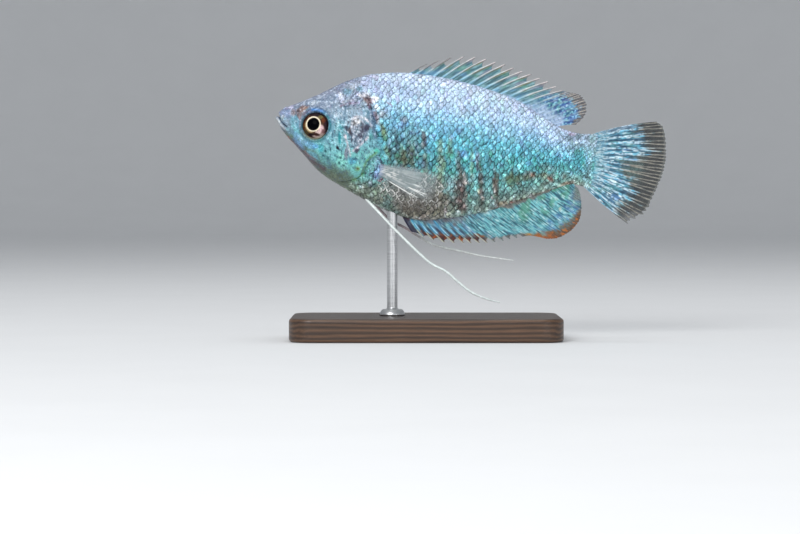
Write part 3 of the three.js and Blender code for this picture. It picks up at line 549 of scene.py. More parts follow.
# Bars: spots with one softness and one patchiness
BAR_EDGES = (.6, .7)
BARS = [
    (28.5, -4, .77, 4.42, 8, 152, 154, 112, .6), (28.5, -8.7, .85, 3.06, 7, 126, 120, 104, .5),
    (29.8, -1.7, .51, 2.72, 7, 126, 132, 96, .45), (32.5, -8.3, 1.36, 4.59, 7, 100, 84, 80, .85),
    (31.4, -3.3, .51, 2.04, 7, 92, 96, 92, .6), (32.7, -5.5, .27, .51, 7, 214, 190, 190, .8),
    (33.1, -6.8, .29, .58, 12, 230, 220, 216, .8), (32.6, -8.1, .24, .44, 7, 190, 160, 156, .7),
    (33.5, -9.2, .26, .51, -3, 206, 186, 176, .8), (32.6, -10.1, .31, .41, 7, 150, 108, 106, .7),
    (33.4, -10.9, .26, .34, 7, 196, 180, 172, .7), (31.8, -6.8, .22, .85, 7, 48, 46, 50, .8),
    (33.9, -8.1, .2, 1.02, 12, 52, 50, 54, .8), (33.8, -4.3, .34, 3.74, 7, 126, 150, 110, .5),
    (35.7, -6.8, .61, 4.25, 9, 72, 62, 58, .8), (34.6, -2.9, .37, 2.04, 7, 110, 96, 96, .6),
    (35.5, -8.1, .24, .68, 12, 212, 198, 182, .8), (36.3, -9.3, .22, .51, 12, 196, 180, 166, .8),
    (35.7, -6.3, .2, .41, 7, 190, 190, 176, .6), (38.3, -7, .58, 3.4, 11, 88, 66, 60, .85),
    (38.1, -7.4, .22, .75, 15, 218, 204, 198, .85), (38, -8.8, .22, .51, 7, 204, 190, 184, .8),
    (38.5, -5.5, .19, .85, 7, 70, 50, 44, .8), (36.8, -2.6, .34, 2.04, 7, 96, 104, 104, .4),
    (40.7, -4.9, .44, 2.21, 7, 88, 92, 76, .7), (43.2, -4.7, 4.59, .77, 15, 88, 106, 84, .6),
    (40.6, -5.5, 1.53, .85, 15, 100, 108, 82, .65), (43.4, -4.4, 1.36, .75, 15, 104, 104, 84, .6),
    (46.4, -4.2, 1.19, .75, 15, 112, 106, 86, .55), (44.3, -4.1, .58, .44, 37, 150, 112, 100, .75),
    (47.4, -4.6, .65, .44, -13, 154, 100, 88, .75), (41, -6.4, .51, .34, 7, 70, 70, 48, .7),
    (41.3, -9.2, .48, .31, 17, 134, 84, 72, .8), (39.9, -9.6, 1.02, .51, 17, 136, 112, 92, .6),
    (42.9, -8.9, .85, .34, 19, 128, 100, 84, .6), (42.2, -6, .51, .27, 7, 128, 96, 88, .6),
    (46.7, -5.3, 1.36, .34, 19, 98, 92, 80, .5), (20.7, -1.5, .44, 2.38, 10, 58, 84, 96, .6),
    (22.9, -2.6, .44, 2.38, 10, 66, 82, 78, .6), (19.7, -3, .41, 1.7, 15, 54, 76, 84, .6),
    (24, 1.3, .34, 1.53, 10, 70, 100, 120, .5), (23.6, -3.9, .51, 2.72, 9, 86, 92, 72, .6),
    (22.3, -4.4, .51, 2.04, 7, 92, 84, 64, .6), (26, -4.9, .58, 2.72, 9, 112, 110, 92, .6),
    (49.6, -3.8, .51, .68, 7, 126, 116, 100, .5), (50.3, -4.9, 1.36, .34, 22, 128, 92, 72, .6),
]
# Spots laid after the head's flecks
LATE_SPOTS = [
    (13.2, 8, 1.19, .75, 19, 186, 196, 220, .8, .6, .7), (12.6, -.6, .27, .78, 12, 44, 36, 46, .85, .5, .2),
    (15.4, .2, .61, .65, -18, 34, 36, 62, .95, .4, .5), (14.2, -3.8, .61, .37, 41, 50, 42, 62, .85, .5, .5),
    (14.6, -1.4, .41, .27, 7, 60, 60, 80, .8, .5, .4), (13.9, 1, .34, .27, 7, 238, 238, 240, .8, .5, .4),
    (13.2, 1.6, .58, .17, 31, 232, 230, 236, .85, .4, .3),
    (15.1, 1.6, .65, .19, -33, 232, 226, 236, .85, .4, .3),
    (12, -1.7, .27, .34, -3, 238, 226, 232, .9, .5, .2), (8.9, -4.5, .24, .24, 7, 26, 84, 92, .9, .4, .2),
    (8.6, -5.3, .22, .2, 7, 34, 92, 100, .9, .4, .2), (9.5, -5.6, .2, .26, 7, 38, 96, 100, .8, .4, .2),
    (11.6, -5.3, .27, .24, 7, 24, 84, 84, .9, .4, .2), (11.5, -6.2, .24, .26, 7, 28, 88, 92, .9, .4, .2),
    (12.3, -6.5, .2, .22, 7, 34, 96, 90, .8, .4, .2), (10.6, -5.1, .19, .19, 7, 40, 98, 104, .8, .4, .2),
    (10.9, -3.7, .26, .36, 37, 6, 8, 26, 1, .3, 0),  # black dot
]
# Streaks: (line, width, colour, strength, patchiness)
STREAKS = [
    # brown rim of the chin
    ([(-.2, 0), (.3, -1.1), (1, -1.9), (1.9, -2.7), (2.5, -3.2)], .2, 136, 118, 108, .85, .1),
    # pale lower lip
    ([(-.1, .2), (.4, -.6), (1, -1.2), (1.7, -1.7)], .32, 184, 188, 194, .9, 0),
    ([(.3, -.3), (.6, -.6)], .17, 226, 226, 222, .8, 0),
    ([(.9, -.8), (1.3, -1.2)], .17, 218, 224, 232, .8, 0),
    # under the lip
    ([(.6, -1.2), (1.2, -1.7), (2, -2.2)], .15, 62, 72, 88, .85, .1),
    # cleft of the mouth
    ([(.1, .5), (.5, 0), (1.1, -.7), (2, -1.2)], .16, 60, 70, 90, .95, 0),
    # edge of the cheek
    ([(2.3, -3), (4.1, -4.5), (5.5, -5.5), (7.3, -6.7), (9.7, -7.8)], .68, 86, 70, 78, .95, .3),
    ([(1.9, -2.6), (2.7, -3.3), (3.9, -4.2)], .14, 160, 104, 92, .5, .3),
    ([(2.2, -.1), (2.3, -.9)], .19, 88, 118, 132, .6, .2),
    ([(5.2, -4.8), (6.3, -5.6), (7.6, -6.2)], .27, 146, 104, 102, .7, .4),
    # cheek plate
    ([(11.8, -1), (12.2, -2.2), (12.9, -3.8), (13.3, -5.1)], .29, 222, 206, 214, .9, .3),
    ([(12.5, 1.1), (13.3, 1.9), (14.5, 1.9), (15.8, 1.1), (16.3, 0)], .29, 232, 222, 228, .9, .2),
    ([(16, -1), (15, -2.4), (14.1, -3.4), (13.3, -4.1)], .31, 230, 210, 222, .95, .15),
    # A painted shadow in the gap behind the gill cover.
    ([(15.8, 3.4), (16.3, 1.1), (17.3, -1.6)], .58, 74, 84, 118, .75, .35),
    ([(16.3, 3.3), (16.8, 1.6)], .2, 104, 76, 90, .75, .2),
    ([(10.3, 3.2), (11.4, 3.8), (12.5, 4.1), (13.8, 4.4)], .29, 112, 78, 104, .9, .6),
    ([(10.5, 3.9), (11.6, 4.4), (13.1, 4.7)], .22, 224, 222, 234, .8, .5),
    ([(13.7, 5.6), (14.7, 5.7), (15.6, 5.4)], .26, 238, 234, 242, .9, .2),
    ([(17.8, 5.1), (18.5, 4.8), (19.3, 4.4)], .15, 134, 108, 128, .8, .1),
    # green edge of the gill cover
    ([(17.9, -3.4), (16.8, -4.4), (16, -5.5), (15.7, -6.7), (15.2, -8.2), (13.6, -9)],
     .32, 84, 132, 72, .9, .2),
    ([(15.8, -4.7), (16.4, -4), (17.3, -3.1)], .2, 150, 214, 196, .6, .2),
    ([(18.1, -4.8), (17.2, -6.4), (16.7, -8)], .17, 180, 202, 238, .8, .2),
    ([(18.6, -5.3), (18.1, -6.8), (17.7, -8.4)], .17, 174, 192, 234, .8, .2),
    ([(18.4, -5), (17.7, -6.5), (17.3, -8.1)], .15, 86, 100, 156, .8, .2),
    # shadow behind the gill cover
    ([(18.4, -4.5), (17.5, -4.3), (16.6, -5.2), (16.2, -6.5), (16.1, -8.2)], .17, 52, 74, 84, .6, .2),
    # side line
    ([(25.8, 3.4), (27.8, 3.4), (30.3, 3.2), (32, 2.8), (33.8, 2.2)], .09, 222, 238, 248, .8, .25),
    ([(19.9, -7.3), (21.7, -8), (23.9, -8.9), (26, -9.7), (27.8, -10.4)], .14, 236, 234, 230, .85, .45),
    ([(24.1, -8.1), (25.5, -8.6)], .15, 226, 226, 226, .7, .3),
    # brown line over the anal fin
    ([(37.5, -10.9), (40, -10.2), (41.9, -9.1), (44.6, -7.7), (47.2, -6.6), (49.5, -5.6), (51.8, -4.6)],
     .2, 118, 94, 84, .85, .2),
    ([(20.5, -6.5), (23.6, -6.3), (26, -6.3)], .17, 150, 172, 178, .6, .3),
]


def mix(a, b, t):
    """Colours a turned towards the colour b by the share t."""
    return a + (np.asarray(b, float) - a) * t[..., None]


def laid_over(colour, layers):
    """A colour with others mixed into it in turn, each layer (red, green, blue, mask)."""
    for *tint, mask in layers:
        colour = mix(colour, tint, mask)
    return colour


def banded(share, bands):
    """The colours of bands that run along the body, one above the other."""
    shares = [s for s, _ in bands]
    return np.stack([np.interp(share, shares, [c[k] for _, c in bands]) for k in range(3)], -1)


def from_oval(x, z, oval):
    """How far places are from the middle of an oval (along, up, reach along, reach up), 1 at its edge."""
    u, v, wide, high = oval
    return np.hypot((x - u) / wide, (z - v) / high)


def spotted(colour, x, z, spots, lumps):
    """Lays oval spots over the colours at x and z, with broken edges where they are patchy."""
    for u, v, wide, high, lean, *tint, strength, soft, patchy in spots:
        near = (np.abs(x - u) < 1.7 * max(wide, high)) & (np.abs(z - v) < 1.7 * max(wide, high))
        if not near.any():
            continue
        turn = math.radians(lean)
        dx, dz = x[near] - u, z[near] - v
        across = (dx * math.cos(turn) + dz * math.sin(turn)) / wide
        up = (dz * math.cos(turn) - dx * math.sin(turn)) / high
        reach = np.hypot(across, up) + .45 * patchy * lumps[near]
        mask = strength * fade(1 - soft, 1 + .35 * soft, reach)
        colour[near] = mix(colour[near], tint, mask)
    return colour


TAIL_ROOT, TAIL_ROOT_X = (154, 188, 198), 53.8


def painted(points):
    """The fish's colours at places of its own frame, with the same marks on both flanks."""
    x, _, z = points.T
    share = height_share(x, z) + (.05 * noise(points, 2.6, 2) + .03 * noise(points, .9, 3))
    seen = np.stack([x, z], -1)
    behind, _ = from_line(seen, HEAD_REAR)
    colour = mix(banded(share, HEAD_BANDS), banded(share, TRUNK_BANDS_AND_TOP_LIGHT), ease(-.4, .6, behind))
    lumps = noise(points, .55, 4) + .6 * noise(points, .27, 5)
    colour = spotted(colour, x, z, SPOTS + [(*bar, *BAR_EDGES) for bar in BARS], lumps)
    for line, width, *tint, strength, patchy in STREAKS:
        line = np.array(line)
        near = ((seen > line.min(0) - 3 * width) & (seen < line.max(0) + 3 * width)).all(-1)
        if not near.any():
            continue
        away, along = from_line(seen[near], smooth_line(line, 8 * len(line)))
        ends = ease(0, .08, along) * fade(.92, 1, along)
        broken = 1 - patchy * (.5 + .8 * lumps[near]).clip(0, 1)
        colour[near] = mix(colour[near], tint, strength * ends * broken * bump(away, width * .62))
    colour = mix(colour, TAIL_ROOT, .6 * bump(x - TAIL_ROOT_X + .3 * lumps, .8))
    return eye_rim(colour, x, z)


DULL_SCALES = (21.5, -1, 4.8, 4.2)  # oval behind the gill cover
MORE_SPECKS = [(0, .5), (.3, .4), (.5, .3), (.7, .16), (1, .1)]  # from belly to back
# Pale specks: partly the scales' own flecks, partly painted glints.
PALE_FLECKS_AND_GLINTS = [(0, .4), (.3, .34), (.6, .36), (1, .24)]
# Darkness of the scales' rear edges from belly to back: partly their border, partly painted shadow.
DARK_EDGES = [(0, .8), (.12, .85), (.4, .95), (.6, .76), (.8, .42), (1, .36)]


def on_table(place, table):
    """Values between the (place, value) pairs of a table."""
    return np.interp(place, *np.transpose(table))


def speckled(colour, points):
    """The fine light and dark specks of the scaled skin, stronger towards the belly."""
    x, _, z = points.T
    share = height_share(x, z)
    specks = .65 * noise(points, .3, 17) + .55 * noise(points, .5, 18)
    amount = on_table(share, MORE_SPECKS) + .14 * fade(.6, 1, from_oval(x, z, DULL_SCALES))
    colour = colour * (1 + amount * specks)[:, None]
    green, violet = noise(points, .6, 19), noise(points, .7, 20)
    colour = mix(colour, (64, 158, 128), .5 * ease(.3, .7, green) * bump(share - .42, .2))
    colour = mix(colour, (96, 108, 168), .4 * ease(.3, .7, violet) * bump(share - .5, .25))
    # Pale specks mixed in, partly the scales' own flecks and partly painted glints.
    return mix(colour, (224, 240, 248), ease(.25, .6, specks) * on_table(share, PALE_FLECKS_AND_GLINTS))


def border_and_shade_strength(points):
    """How dark the rear edges of the scales are at a place: partly their border, partly painted shadow."""
    x, _, z = points.T
    strength = on_table(height_share(x, z), DARK_EDGES) * (1 - .6 * ease(-.1, .6, noise(points, .9, 14)))
    return strength * (1 - .4 * ease(51, 55, x)) * ease(9, 17, x + .25 * z)


# Round the eye: (turn from the tail upwards in degrees, half its spread, distance, reach, colour, strength)
EYE_RIM = [
    (90, 200, 2.5, .18, 54, 74, 96, .7), (92, 46, 2.72, .26, 66, 136, 216, .95),
    (66, 40, 3.02, .14, 60, 84, 120, .6),
    (24, 46, 2.62, .2, 50, 134, 146, .85), (172, 34, 2.6, .2, 152, 166, 186, .7),
    # The second arc on the line below, teal under the eye, is a painted shadow below its rim.
    (268, 58, 2.38, .12, 206, 204, 176, .85), (262, 70, 2.68, .24, 70, 128, 136, .7),
    (128, 22, 2.72, .2, 116, 92, 96, .7), (310, 30, 2.6, .2, 72, 150, 150, .7),
]


def eye_rim(colour, x, z):
    """Lays the coloured arcs of the skin round the eye."""
    dx, dz = x - EYE_CENTRE[0], z - EYE_CENTRE[1]
    r, turn = np.hypot(dx, dz), np.degrees(np.arctan2(dz, dx))
    for middle, spread, distance, reach, *tint, strength in EYE_RIM:
        off = np.abs((turn - middle + 180) % 360 - 180)
        colour = mix(colour, tint, strength * fade(.6, 1.1, off / spread) * bump(r - distance, reach))
    return colour


SILVER_PLATE = (13.3, -.55, 1.9, 2.6)  # oval on the gill cover
LIGHT_FLECKS = [(.35, .28), (.6, .55), (.85, .6)]  # from cheek to brow


def mottled(colour, points):
    """The flecks of the bare head: light, dark and violet ones, and small pores."""
    x, _, z = points.T
    share = height_share(x, z)
    rear = ease(7, 10, x)
    broad, middle, fine = noise(points, .9, 12), noise(points, .32, 6), noise(points, .2, 7)
    light = ease(.1, .6, .8 * middle + .6 * fine + .2 * broad) * (.75 + .25 * rear)
    dark = ease(.05, .55, .6 * fine - .8 * middle + .3 * broad) * (.42 + .16 * rear) * (share < .93)
    violet = ease(.3, .8, noise(points, .55, 8)) * (.25 + .15 * rear)
    pores = ease(.4, .65, noise(points, .24, 13)) * rear * ease(.15, .3, share) * (share < .75)
    plate = fade(.75, 1.1, from_oval(x, z, SILVER_PLATE) + .2 * middle)
    cracks = .7 * fine + .7 * noise(points, .42, 9) + .2 * broad
    colour = laid_over(colour, [
        (136, 122, 160, violet * ease(.5, .8, share)),
        (216, 228, 238, light * on_table(share, LIGHT_FLECKS) * ease(.1, .35, share)),
        (66, 90, 112, .85 * dark), (28, 70, 84, .8 * pores),
        (222, 222, 232, .75 * plate * ease(.05, .5, cracks)),
        (46, 46, 66, .75 * plate * ease(.05, .5, -cracks)),
    ])
    return spotted(colour * (1 + .14 * fine[:, None]), x, z, LATE_SPOTS, middle)


def light_of(colour, alpha=1.0):
    """Seen colours from 0 to 255 as linear light with an alpha."""
    seen = np.clip(colour / 255, 0, 1)
    linear = np.where(seen <= .04045, seen / 12.92, ((seen + .055) / 1.055) ** 2.4)
    return np.concatenate([linear, np.broadcast_to(alpha, linear.shape[:-1])[..., None]], -1)


# Meshes
def grid_faces(rows, columns, start=0, wrap=False):
    """Quads over a grid of points that are numbered row by row."""
    r, c = np.indices((rows - 1, columns if wrap else columns - 1)).reshape(2, -1)
    here, beside = r * columns + c, r * columns + (c + 1) % columns
    return start + np.stack([here, beside, beside + columns, here + columns], -1)


def fan_faces(ring, middle, turned=False):
    """Triangles from a closed ring of points to the point in its middle."""
    ring = np.asarray(ring)
    after = np.roll(ring, -1)
    pair = (after, ring) if turned else (ring, after)
    return np.stack([*pair, np.full(len(ring), middle)], -1)


def outward_volume(points, faces):
    """Six times the volume inside quads, below 0 where they face inwards."""
    a, b, c, d = (points[faces[:, k]] for k in range(4))
    return (np.einsum("ij,ij->i", a, np.cross(b, c)) + np.einsum("ij,ij->i", a, np.cross(c, d))).sum()


def end_fans(rows, columns):
    """Triangles from the first and last rings of a grid to the two points after the last ring."""
    count, first = rows * columns, np.arange(columns)
    return np.concatenate([fan_faces(first, count, True), fan_faces(count - columns + first, count + 1)])


def closed_faces(points, rows, columns):
    """Outward faces over rings of points, whose ends close on the two points after them."""
    quads, ends = grid_faces(rows, columns, wrap=True), end_fans(rows, columns)
    step = -1 if outward_volume(points, quads) < 0 else 1
    return [quads[:, ::step], ends[:, ::step]]


def rim_of_grid(rows, columns):
    """The numbers of the points round the edge of a grid."""
    index = np.arange(rows * columns).reshape(rows, columns)
    return np.concatenate([index[0], index[1:-1, -1], index[-1, ::-1], index[-2:0:-1, 0]])


def add_object(name, data):
    """Adds an object to the scene."""
    made = bpy.data.objects.new(name, data)
    bpy.context.scene.collection.objects.link(made)
    return made


def new_piece(name, points, faces, material, nodes, slot, colours=None, maps=None, values=None):
    """Makes a mesh piece in the row frame from numbered points, quads and triangles."""
    mesh = bpy.data.meshes.new(name)
    mesh.vertices.add(len(points))
    mesh.vertices.foreach_set("co", np.asarray(points, np.float32).ravel())
    sizes = np.concatenate([np.full(len(f), f.shape[1]) for f in faces])
    corners = np.concatenate([f.ravel() for f in faces])
    mesh.loops.add(len(corners))
    mesh.loops.foreach_set("vertex_index", corners.astype(np.int32))
    mesh.polygons.add(len(sizes))
    mesh.polygons.foreach_set("loop_start", (np.cumsum(sizes) - sizes).astype(np.int32))
    mesh.polygons.foreach_set("loop_total", sizes.astype(np.int32))
    mesh.polygons.foreach_set("use_smooth", np.ones(len(sizes), bool))
    mesh.update(calc_edges=True)
    for map_name, places in (maps or {}).items():
        layer = mesh.uv_layers.new(name=map_name)
        at_corners = places if len(places) == len(corners) else places[corners]
        layer.data.foreach_set("uv", np.asarray(at_corners, np.float32).ravel())
    if colours is not None:
        layer = mesh.color_attributes.new(name="markings", type="FLOAT_COLOR", domain="POINT")
        layer.data.foreach_set("color", np.asarray(colours, np.float32).ravel())
    for value_name, numbers in (values or {}).items():
        layer = mesh.attributes.new(value_name, "FLOAT", "POINT")
        layer.data.foreach_set("value", np.asarray(numbers, np.float32))
    mesh.materials.append(material)
    piece = add_object(name, mesh)
    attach(piece, BODY)
    if nodes:
        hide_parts(*nodes)
    return piece


# Materials
def new_material(name):
    """An empty node material, its Principled shader and each point's place on the piece."""
    material = bpy.data.materials.new(name)
    material.use_nodes = True
    tree = material.node_tree
    tree.nodes.clear()
    shader = tree.nodes.new("ShaderNodeBsdfPrincipled")
    output = tree.nodes.new("ShaderNodeOutputMaterial")
    tree.links.new(shader.outputs["BSDF"], output.inputs["Surface"])
    return material, shader, add_node(shader, "TexCoord").outputs["Object"]


def set_inputs(node, inputs):
    """Sets a node's inputs, each to a number, a colour or another node's output."""
    for key, value in inputs.items():
        if isinstance(value, bpy.types.NodeSocket):
            node.id_data.links.new(value, node.inputs[key])
        else:
            node.inputs[key].default_value = value


def add_node(near, kind, inputs=None, **settings):
    """Adds a shader node, with its settings and inputs, to the tree of another node or output."""
    made = near.id_data.nodes.new("ShaderNode" + kind)
    for key, value in settings.items():
        setattr(made, key, value)
    set_inputs(made, inputs or {})
    return made


def set_shader(shader, **inputs):
    set_inputs(shader, {key.replace("_", " "): value for key, value in inputs.items()})


def ramp(factor, stops):
    """A colour ramp through (place, colour) stops, where a number stands for a grey."""
    made = add_node(factor, "ValToRGB", {"Fac": factor})
    elements = made.color_ramp.elements
    elements[0].position, elements[1].position = stops[0][0], stops[-1][0]
    for place, _ in stops[1:-1]:
        elements.new(place)
    for element, (_, colour) in zip(elements, stops):
        element.color = (*np.broadcast_to(colour, 3), 1)
    return made.outputs["Color"]


def scaled_noise(place, scale, detail=3):
    inputs = {"Vector": place, "Scale": scale, "Detail": detail, "Roughness": .55}
    return add_node(place, "TexNoise", inputs).outputs["Fac"]


def stretched(place, scale):
    """Places drawn out along the axes, for grain and scratches."""
    return add_node(place, "Mapping", {"Vector": place, "Scale": scale}).outputs["Vector"]


def maths(operation, *values):
    return add_node(values[0], "Math", dict(enumerate(values)), operation=operation).outputs["Value"]


def vectors(operation, *values):
    made = add_node(values[0], "VectorMath", dict(enumerate(values)), operation=operation)
    return made.outputs["Value" if operation in ("DOT_PRODUCT", "LENGTH") else "Vector"]


def relief(height, strength, distance):
    """The shading of fine bumps, whose depth is in metres."""
    inputs = {"Height": height, "Strength": strength, "Distance": distance}
    return add_node(height, "Bump", inputs).outputs["Normal"]


def mixed(amount, first, second, blend="MIX"):
    """Two colours, blended by an amount. The amount or the first colour is an output."""
    near = amount if isinstance(amount, bpy.types.NodeSocket) else first
    inputs = {0: amount, 6: first, 7: second}
    return add_node(near, "Mix", inputs, data_type="RGBA", blend_type=blend).outputs[2]


def multiplied(colour, factor):
    return mixed(1, colour, factor, "MULTIPLY")


def attribute(place, name):
    """The outputs of what is painted on a piece under a name."""
    return add_node(place, "Attribute", attribute_name=name).outputs


def flecked(place, scale, stops):
    """The piece's painted markings, its flecks, and the markings made darker and lighter by them."""
    markings = attribute(place, "markings")
    flecks = scaled_noise(place, scale)
    return markings, flecks, multiplied(markings["Color"], ramp(flecks, stops))


def skin_material(looks):
    """Smooth wet skin with fine pores, for the head and under the scales."""
    material, shader, place = new_material("wet skin")
    _, flecks, lit = flecked(place, 5200, [(.3, .54), (.5, 1), (.7, 1.36)])
    roughness = ramp(scaled_noise(place, 2600), [(.3, .3), (.7, .48)])
    set_shader(
        shader, Base_Color=lit, Roughness=roughness, Normal=relief(flecks, .35, .00006), IOR=1.4,
        Specular_IOR_Level=.3, Coat_Weight=looks.wetness, Coat_Roughness=.18,
    )
    return material


# Colour of the belly's net: pale pearly scale edges with painted glints.
PEARL_AND_GLINT_COLOUR = (.86, .85, .82, 1)


def scale_material(looks):
    """Scales with a bright silvery middle, a dark rear edge and, on the belly, a pale net along that edge.

    Each is partly painted light: a highlight in the middle, shadow at the rear edge and glints on the net.
    """
    material, shader, place = new_material("fish scales")
    markings = attribute(place, "markings")
    shape = add_node(place, "UVMap", uv_map="scale_shape").outputs["UV"]
    centred = vectors("SUBTRACT", shape, (.5, .5, 0))
    pointed = vectors("DOT_PRODUCT", vectors("ABSOLUTE", centred), (.5, .5, 0))
    reach = maths("MULTIPLY_ADD", vectors("LENGTH", centred), .6, pointed)
    uneven = maths("MULTIPLY_ADD", scaled_noise(place, 3400), .42, reach)
    backward = vectors("DOT_PRODUCT", centred, (1, 0, 0))
    # The rear edge is darkest at its lower part: partly the scale's border, partly painted shadow of the
    # raised edge.
    rearward = vectors("DOT_PRODUCT", centred, (.85, -.5, 0))
    edge = multiplied(ramp(uneven, [(.65, 0), (.76, 1)]), ramp(rearward, [(.08, .08), (.34, 1)]))
    strength = maths("MULTIPLY", edge, markings["Alpha"])
    # Painted highlight: the middle of each scale is made lighter than its edge.
    lit = multiplied(markings["Color"], ramp(uneven, [(.4, 1.22), (.7, .98)]))
    bordered_and_shaded = mixed(strength, lit, (*looks.scale_border_and_shade, 1), "MULTIPLY")
    # On the belly, a pale net along the edges: partly pearly scale edges, partly painted glints.
    rim = multiplied(
        ramp(uneven, [(.57, 0), (.63, 1), (.73, 1), (.79, 0)]), ramp(backward, [(0, 0), (.06, 1)])
    )
    on_glint_net = maths("MULTIPLY", rim, attribute(place, "pearly_net_and_glints")["Fac"])
    # Fine grain over each scale that also stands in for sparkle, a painted glint.
    grain_and_sparkle = scaled_noise(place, 4400)
    lit = multiplied(mixed(on_glint_net, bordered_and_shaded, PEARL_AND_GLINT_COLOUR), ramp(grain_and_sparkle, [(.34, .58), (.66, 1.42)]))
    set_shader(
        shader, Base_Color=lit, Roughness=ramp(grain_and_sparkle, [(.3, .3), (.7, .46)]),
        Normal=relief(grain_and_sparkle, .35, .00006), IOR=1.45, Specular_IOR_Level=.3,
        Coat_Weight=looks.wetness, Coat_Roughness=.2,
    )
    return material


def fin_material(looks):
    """Thin web and rays, seen through where they are clear."""
    material, shader, place = new_material("fin web")
    markings, flecks, lit = flecked(place, 3800, [(.3, .86), (.7, 1.1)])
    set_shader(
        shader, Base_Color=lit, Roughness=.4, Alpha=markings["Alpha"],
        Normal=relief(flecks, .25, .00005), IOR=1.4, Coat_Weight=looks.wetness * .6, Coat_Roughness=.25,
    )
    return material


def feeler_material():
    """Soft ringed threads."""
    material, shader, place = new_material("feeler skin")
    _, flecks, lit = flecked(place, 3000, [(.3, .86), (.7, 1.06)])
    set_shader(shader, Base_Color=lit, Roughness=.42, Normal=relief(flecks, .3, .00004), Coat_Weight=.2)
    return material


def eye_material():
    """A wet eye that barely shines."""
    material, shader, place = new_material("wet eye")
    _, _, lit = flecked(place, 6000, [(.3, .82), (.7, 1.12)])
    set_shader(
        shader, Base_Color=lit, Roughness=.3, IOR=1.38, Specular_IOR_Level=.01, Coat_Weight=.02,
        Coat_Roughness=.03, Coat_IOR=1.38,
    )
    return material


def walnut_material(looks):
    """Dark walnut with its grain along the base."""
    material, shader, place = new_material("walnut")
    drawn = stretched(place, (60, 700, 700))
    grain = add_node(
        place, "TexWave", {"Vector": drawn, "Scale": .55, "Distortion": 5, "Detail": 3, "Detail Scale": 1.2},
        bands_direction="Z",
    ).outputs["Fac"]
    fibres = scaled_noise(stretched(place, (300, 6000, 6000)), 1, 4)
    lit = mixed(grain, (*looks.wood_dark, 1), (*looks.wood_light, 1))
    lit = multiplied(lit, ramp(fibres, [(.3, .7), (.65, 1.1)]))
    lit = multiplied(lit, ramp(scaled_noise(drawn, .35, 2), [(.3, .8), (.7, 1.15)]))
    set_shader(
        shader, Base_Color=lit, Roughness=ramp(fibres, [(.3, .5), (.7, .34)]),
        Normal=relief(fibres, .3, .00006), Coat_Weight=.25, Coat_Roughness=.3,
    )
    return material


def steel_material():
    """Steel brushed round the rod."""
    material, shader, place = new_material("brushed steel")
    lines = scaled_noise(stretched(place, (400, 400, 14000)), 1, 3)
    set_shader(
        shader, Base_Color=ramp(lines, [(.3, (.5, .51, .52)), (.7, (.72, .73, .74))]),
        Metallic=1, Roughness=ramp(lines, [(.3, .3), (.7, .42)]), Normal=relief(lines, .2, .00002),
    )
    return material


def floor_material(stage):
    """A matt floor of one tone, with hardly any mottle."""
    material, shader, place = new_material("pale floor")
    tone = tuple(stage.floor_colour)
    stops = [(.35, tuple(.985 * c for c in tone)), (.65, tone)]
    set_shader(shader, Base_Color=ramp(scaled_noise(place, 40), stops), Roughness=.75)
    return material


# Pieces
SKIN_NODES = ("head", "lower_jaw", "gill_cover_left", "gill_cover_right", "torso", "tail_stalk")
# Rings that close the skin's ends: (share of the end ring, step outwards as a share of the bulge)
SNOUT_CAP = [(.75, .06), (.5, .1), (.25, .13)]
SNOUT_TIP = (.86, 0, 0)  # moved back from the snout cap's full bulge
TAIL_CAP, TAIL_BULGE = [(.5, .05)], .06


def capped(points, at_end, cap, bulge):
    """The rings and the last point that close an end of the skin."""
    ring = points[-1 if at_end else 0]
    middle = ring.mean(0)
    way = np.array([1.0 if at_end else -1.0, 0, 0])
    rings = [middle + (ring - middle) * share + way * step * bulge for share, step in cap]
    return rings, middle + way * bulge


def build_skin(looks):
    """One skin for the head and the body, from the lips to the root of the tail fin."""
    skin = skin_surface()
    snout, snout_tip = capped(skin["points"], False, SNOUT_CAP, 1.0)
    tail, tail_tip = capped(skin["points"], True, TAIL_CAP, TAIL_BULGE)
    rings = np.concatenate([np.array(snout[::-1]), skin["points"], np.array(tail)])
    rows, columns = rings.shape[:2]
    flat = np.concatenate([rings.reshape(-1, 3), [snout_tip + SNOUT_TIP, tail_tip]])
    quads, ends = grid_faces(rows, columns, wrap=True)[:, ::-1], end_fans(rows, columns)
    colour = painted(flat)
    bare_head = fade(16.5, 18.5, flat[:, 0] + .3 * flat[:, 2])
    colours = mix(colour, mottled(colour, flat), bare_head)
    arc = skin["arc"]
    arc = np.concatenate([arc[:1].repeat(len(snout), 0), arc, arc[-1:].repeat(len(tail), 0)])
    along = np.clip(rings[:, :1, 0].repeat(columns + 1, 1), 0, None)
    at_grid = unwrapped(along, arc)
    at_ends = at_grid[:, :-1].reshape(-1, 2)[ends[:, :2]]
    at_ends = np.concatenate([at_ends, at_ends.mean(1, keepdims=True)], 1).reshape(-1, 2)
    corner_maps = np.concatenate([wrapped_corners(at_grid, rows, columns), at_ends])
    new_piece(
        "fish_skin", row_frame(flat), [quads, ends], skin_material(looks), SKIN_NODES, "scaled_skin",
        light_of(colours), {"OFBake": corner_maps},
    )


def wrapped_corners(at_grid, rows, columns):
    """The map's place at each corner of the skin's quads, whose last column closes the ring."""
    r, c = np.indices((rows - 1, columns)).reshape(2, -1)
    corners = np.stack([at_grid[r, c], at_grid[r, c + 1], at_grid[r + 1, c + 1], at_grid[r + 1, c]], 1)
    return corners[:, ::-1].reshape(-1, 2)


